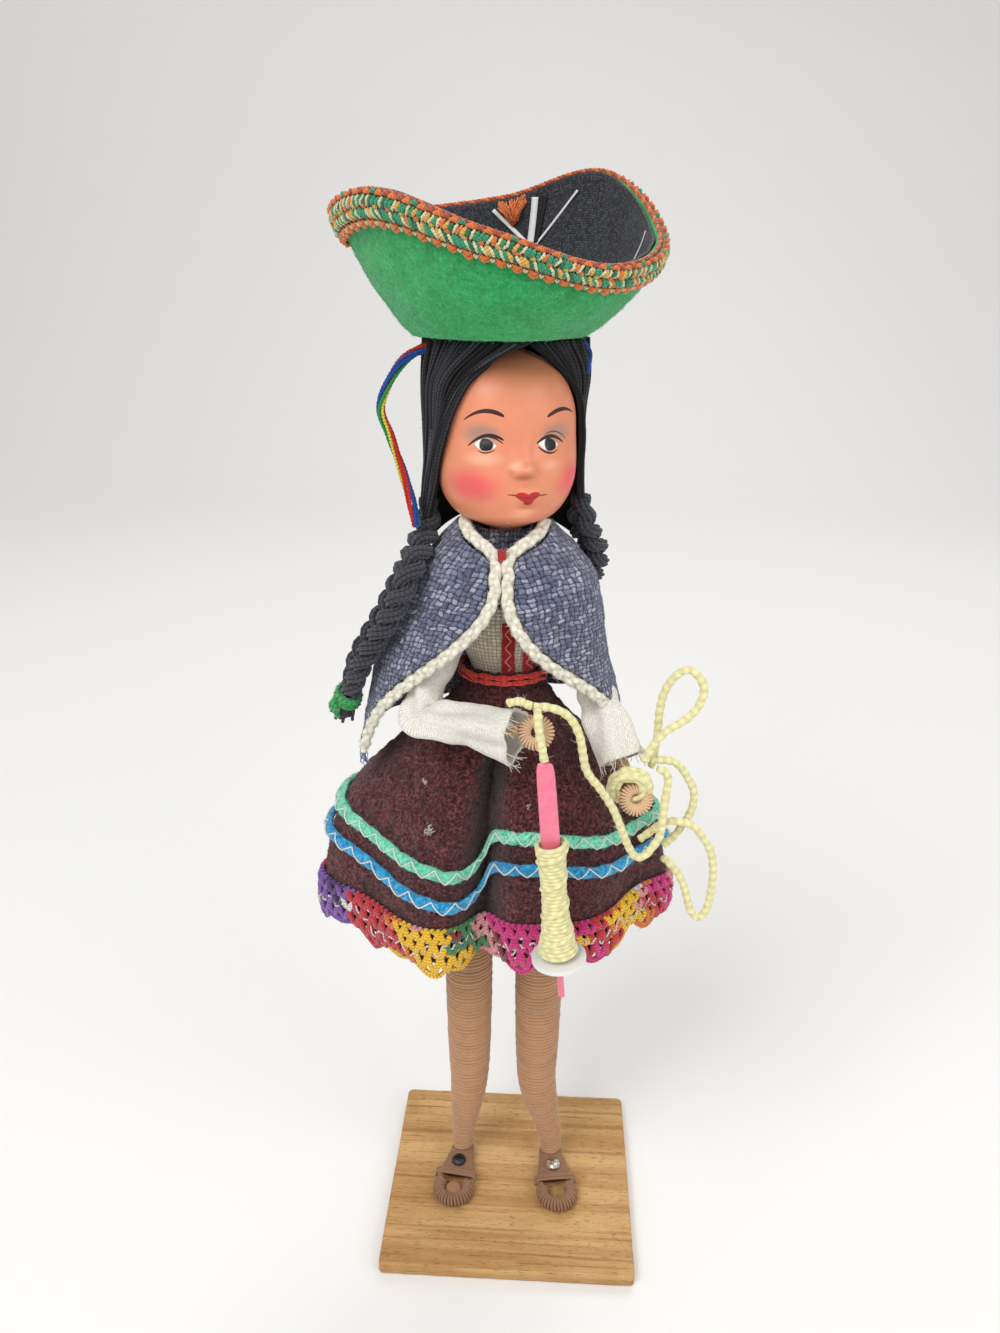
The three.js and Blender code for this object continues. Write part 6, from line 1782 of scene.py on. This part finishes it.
def hat_rise(angle):
    """The height of the hat's rim at an angle."""
    place = (angle / TURN) % 1 * 8
    low = int(place)
    t = place - low
    a, b, c, d = (RIM_HEIGHTS[(low + k) % 8] for k in (-1, 0, 1, 2))
    curve = 2 * b + (c - a) * t + (2 * a - 5 * b + 4 * c - d) * t**2
    return 0.5 * (curve + (3 * b - a - 3 * c + d) * t**3)


def hat_point(angle, share, offset=0.0):
    """The hat's outside at an angle from +X and a share of the way up; offset goes inward."""
    rise = hat_rise(angle)
    rim = 1 / math.hypot(math.cos(angle) / 37.4, math.sin(angle) / 34)

    def spot(at):
        if at <= FLOOR_SHARE:
            return at / FLOOR_SHARE * HAT_FLOOR, 0.0
        t = (at - FLOOR_SHARE) / (1 - FLOOR_SHARE)
        middle = 2 * t * (1 - t)
        bulge = rim - 1.5 - 3.5 * max(-math.cos(angle), 0)
        return (1 - t) ** 2 * HAT_FLOOR + middle * bulge + t * t * rim, middle * 0.45 * rise + t * t * rise

    radius, height = spot(share)
    (next_r, next_h), (last_r, last_h) = spot(min(share + 0.02, 1)), spot(max(share - 0.02, 0))
    run, climb = next_r - last_r, next_h - last_h
    size = math.hypot(run, climb)
    out = radius - offset * climb / size
    return Vector((-5.8 + out * math.cos(angle), 4 + out * math.sin(angle), HAT + height + offset * run / size))


class DOLL_OT_hat(bpy.types.Operator):
    """Green felt dish hat with a dark lining and a stitched braid round the rim"""

    bl_idname = "doll.hat"
    bl_label = "Hat"

    def execute(self, context):
        above = (-6, 4, HAT + 40)
        greens = (paint("127a3c"), paint("2ca75c"), paint("5cc886"))
        dark = paint("0f5c30")
        green = felt_finish("Hat felt", greens, lump=0.8, depth=0.4, hairs=dark, sheen=0.25, drift=5)
        bm = surface(220, 90, lambda u, v: hat_point(TURN * u, lerp(0.004, 1, v)), (240, 60), about=above)
        felt = piece("hat_felt_shell", lumps(bm, 0.35, 6), green, "head", ["hat_felt"])
        thicken(felt, 1.4)
        wisps = plain_finish("Felt hairs", paint("54bb7a"), 0.95)
        fibres("hat_fuzz", [felt], 5200, 1.5, wisps, "head", 6, radius=0.035, lie=0.65)
        lining = cloth_finish("Lining", (paint("1b1c20"), paint("34363c"), paint("50535a")), 0.6, 0.08)
        spot = lambda u, v: hat_point(TURN * u, lerp(0.004, 0.997, v), 1.85)
        bm = surface(160, 60, spot, (240, 60), about=above)
        cloth = area_of(bm)
        inside = piece("hat_lining_cloth", lumps(bm, 0.3, 5, 4), lining, "head", ["hat_lining"])
        thicken(inside, 0.6)
        pale = plain_finish("Lining tape", paint("e6e6e4"), 0.8)

        def strips(name, runs, finish):
            """Flat strips on the lining, each from (angle, share) to (angle, share) with half its width."""
            bm = bmesh.new()
            for (start, high), (end, low), wide in runs:
                path = []
                for k in range(25):
                    angle = math.radians(lerp(start, end, k / 24))
                    path.append(hat_point(angle, lerp(high, low, k / 24), 2.75))
                aside = (path[-1] - path[0]).cross(path[12] - Vector(above)).normalized() * wide
                rows = [[bm.verts.new((p + aside * way) * MM) for p in path] for way in (-1, 1)]
                ends = [bm.edges.new((row[k], row[k + 1])) for row in rows for k in range(24)]
                bmesh.ops.bridge_loops(bm, edges=ends)
            bmesh.ops.recalc_face_normals(bm, faces=bm.faces)
            made = piece(name, bm, finish, "head")
            flat = made.modifiers.new("Thickness", "SOLIDIFY")
            flat.thickness, flat.offset = 0.25 * MM, 0
            return made

        black = plain_finish("Lining strip", paint("0d0d0f"), 0.8)
        tapes = [
            ((96, 0.95), (79, 0.76), 0.5),
            ((76, 0.96), (77, 0.73), 0.85),
            ((55, 0.93), (74, 0.74), 0.28),
            ((8, 0.96), (10, 0.72), 0.3),
        ]
        tape = strips("hat_tapes", tapes, pale)
        strip = strips("hat_lining_strip", [((71, 0.95), (74, 0.75), 0.6)], black)
        count = 66  # stitches round the rim
        angles = even_angles(count, lambda angle: hat_point(angle, 1))

        def at(place, up, out):
            whole = int(place) % count
            angle = lerp(angles[whole], angles[whole + 1], place - math.floor(place))
            low = 1 - 6.5 / (hat_rise(angle) + 26)
            return hat_point(angle, lerp(low, 1, up), -out)

        def band(u, v):
            return at((u % 1) * count, lerp(0.04, 0.97, v), 1.0)

        codes = ["2a9a6a", "13704a", "ee7a2a", "e8b24a", "e6dfae", "b9502a"]
        cream = 4  # its place in codes; its threads are the thin ones
        dyed = []
        for k, code in enumerate(codes):
            dyed.append(yarn_finish(f"Trim thread {k}", paint(code), shade=0.4, twist=0.9))
        browns = (paint("3b4a26"), paint("8a6a32"), paint("b78a44"))
        base = felt_finish("Trim base", browns, lump=0.6, depth=0.2)
        thicken(piece("hat_band", surface(228, 6, band, (240, 6), about=above), base, "head"), 0.7)
        lines, kinds = [], []
        dice = random.Random(23)

        def add(points, kind, place):
            lines.append([at((place + p[0]) % count, p[1], p[2]) for p in points])
            kinds.append(kind)

        for k in range(count):
            for row, (low, high) in enumerate(((0.47, 0.14), (0.53, 0.86))):
                shift = k + 0.3 * row + dice.uniform(-0.05, 0.05)
                first, third = dice.choice((0, 0, 1)), dice.choice((0, 1, 2, 3))
                for n, kind in enumerate((first, cream, third, dice.choice((0, 3, cream)))):
                    path = []
                    for s in range(5):
                        t = s / 4
                        rise = 1.15 + 0.15 * (n % 2) + 0.55 * math.sin(math.pi * t) + dice.uniform(-0.15, 0.15)
                        place = 0.25 * n - 0.16 + 0.34 * t + dice.uniform(-0.06, 0.06)
                        path.append((place, lerp(low, high, t), rise))
                    add(path, kind, shift)
            add([(-0.14, 0.5, 1.5), (0, 0.54, 1.75), (0.14, 0.5, 1.5)], 2 if k % 2 else 3, k + 0.1)
            add([(-0.26, 0.93, 1.2), (0, 1.0, 1.45), (0.26, 0.93, 1.2)], 2, k + 0.5)
            add([(-0.2, 0.95, 1.1), (0, 1.03, 1.2), (0.2, 0.95, 1.1)], 5 if k % 3 else 0, k)
            add([(-0.3, 0.08, 1.15), (0, -0.05, 1.3), (0.3, 0.08, 1.15)], 2, k + 0.25)
            deep = -0.12 - dice.uniform(0, 0.1)
            loop = [(-0.12, 0.02), (-0.26, deep * 0.6), (0, deep), (0.26, deep * 0.6), (0.12, 0.02)]
            add([(x, y, 0.9) for x, y in loop], 2, k + 0.25)
            add([(-0.12, 0.02, 1.2), (0, deep * 0.5, 1.1), (0.12, 0.02, 1.2)], cream, k + 0.75)
        leaf = lambda share: 0.6 + 0.4 * math.sin(math.pi * share)
        wide = [line for line, kind in zip(lines, kinds) if kind != cream]
        thin = [line for line, kind in zip(lines, kinds) if kind == cream]
        kinds = [kind for kind in kinds if kind != cream]
        shape = tubes("hat_trim_stitches", wide, 0.56, 6, taper=leaf, kinds=kinds)
        piece("hat_trim_stitches", shape, dyed, "head", ["hat_trim"])
        strung("hat_trim_threads", thin, 0.36, 6, dyed[cream], "head")
        far = lambda share: max(math.sin(TURN * share), 0)  # 1 at the back of the hat
        rim = []
        for k in range(401):
            back = far(k / 400)
            rim.append(hat_point(TURN * k / 400, 1, 0.3 + 0.8 * back) + UP * 0.3 * back)
        cord = plies(even(rim, 0.5), 0.3, 3.8, 3)
        thick = lambda share: 0.6 + 0.4 * smooth(far(share), 0, 0.4)
        strung("hat_rim_cord", cord, 0.44, 6, dyed, "head", taper=thick, kinds=[5, 5, 2])
        tuft = []
        tip = hat_point(math.radians(86), 0.88, 3.2)
        for _ in range(70):
            root = hat_point(math.radians(dice.uniform(80, 94)), dice.uniform(0.95, 0.99), 2.8)
            bow = scatter(dice, 0.5)
            end = tip + scatter(dice, 0.5)
            tuft.append(smooth_line([root, (root + end) / 2 + bow + Vector((0, -0.7, 0)), end], 0.6))
        strung("hat_tuft", tuft, 0.17, 6, dyed[2], "head")
        loose = []
        for y, z in ((0, 0), (0.7, -1.2), (-0.6, 0.8)):
            start = Vector((14.6, -1 + y, HAT - 0.8))
            bow, end = start + Vector((1.6, -0.6, -2.6)), start + Vector((1.2, -1.2, -6 + z))
            loose.append(smooth_line([start, bow, end], 0.5))
        strung("hat_blue_threads", loose, 0.4, 6, bpy.data.materials["Blue thread"], "head")
        return {"FINISHED"}


class DOLL_OT_stage(bpy.types.Operator):
    """Pale floor and backdrop, and soft lamps"""

    bl_idname = "doll.stage"
    bl_label = "Stage"

    def execute(self, context):
        bm = bmesh.new()
        bmesh.ops.create_grid(bm, x_segments=2, y_segments=60, size=1)
        for vert in bm.verts:
            run = (vert.co.y + 1) * 2.4
            bend = min(max(run - 2.2, 0) / 0.8, 1)
            rise = 0.5 * (1 - math.cos(bend * math.pi / 2)) + max(run - 3.0, 0)
            vert.co = Vector((vert.co.x * 4, min(run, 2.2) - 1.2 + 0.5 * math.sin(bend * math.pi / 2), rise))
        floor = bpy.data.meshes.new("floor")
        bm.to_mesh(floor)
        bm.free()
        floor.shade_smooth()
        cover = Finish("Stage paper", 0.85)
        floor.materials.append(cover.done(paint("e9e8e6"), cover.bump(cover.noise(3, 2), 0.05)))
        stage = bpy.data.objects.new("floor", floor)
        context.scene.collection.objects.link(stage)
        for name, spot, size, power in (
            ("Key", (-0.55, -0.75, 1.15), 0.7, 11.0),
            ("Fill", (0.85, -0.6, 0.7), 0.9, 5.0),
            ("Back", (0.2, 0.9, 1.2), 0.7, 5.0),
        ):
            data = bpy.data.lights.new(name, "AREA")
            data.size, data.energy = size, power
            lamp = bpy.data.objects.new(name, data)
            lamp.location = spot
            aim = Vector((0, 0, 0.16)) - Vector(spot)
            lamp.rotation_euler = aim.to_track_quat("-Z", "Y").to_euler()
            context.scene.collection.objects.link(lamp)
        world = bpy.data.worlds.new("Studio")
        world.use_nodes = True
        world.node_tree.nodes["Background"].inputs["Color"].default_value = (1, 1, 1, 1)
        world.node_tree.nodes["Background"].inputs["Strength"].default_value = 0.55
        context.scene.world = world
        context.scene.view_settings.view_transform = "Standard"
        return {"FINISHED"}


class DOLL_PT_build(bpy.types.Panel):
    """Buttons that build the doll"""

    bl_label = "Spinner doll"
    bl_idname = "DOLL_PT_build"
    bl_space_type = "VIEW_3D"
    bl_region_type = "UI"
    bl_category = "Doll"

    def draw(self, context):
        for step in STEPS:
            self.layout.operator(step.bl_idname)
        for group in (context.scene.doll_sizes, context.scene.doll_colours):
            for name in group.bl_rna.properties.keys():
                if name not in ("rna_type", "name"):
                    self.layout.prop(group, name)


STEPS = [
    *[DOLL_OT_camera, DOLL_OT_yarn, DOLL_OT_board, DOLL_OT_legs, DOLL_OT_feet, DOLL_OT_skirt, DOLL_OT_hem],
    *[DOLL_OT_sash, DOLL_OT_blouse, DOLL_OT_sleeves, DOLL_OT_arms, DOLL_OT_spindle, DOLL_OT_cape],
    *[DOLL_OT_head, DOLL_OT_hair, DOLL_OT_hat, DOLL_OT_stage],
]
CLASSES = [DollSizes, DollColours, *STEPS, DOLL_PT_build]


def register():
    for cls in CLASSES:
        bpy.utils.register_class(cls)
    bpy.types.Scene.doll_sizes = PointerProperty(type=DollSizes)
    bpy.types.Scene.doll_colours = PointerProperty(type=DollColours)


def unregister():
    del bpy.types.Scene.doll_sizes
    del bpy.types.Scene.doll_colours
    for cls in reversed(CLASSES):
        bpy.utils.unregister_class(cls)


def main():
    register()
    for step in STEPS:
        group, name = step.bl_idname.split(".")
        getattr(getattr(bpy.ops, group), name)()


if __name__ == "__main__":
    main()
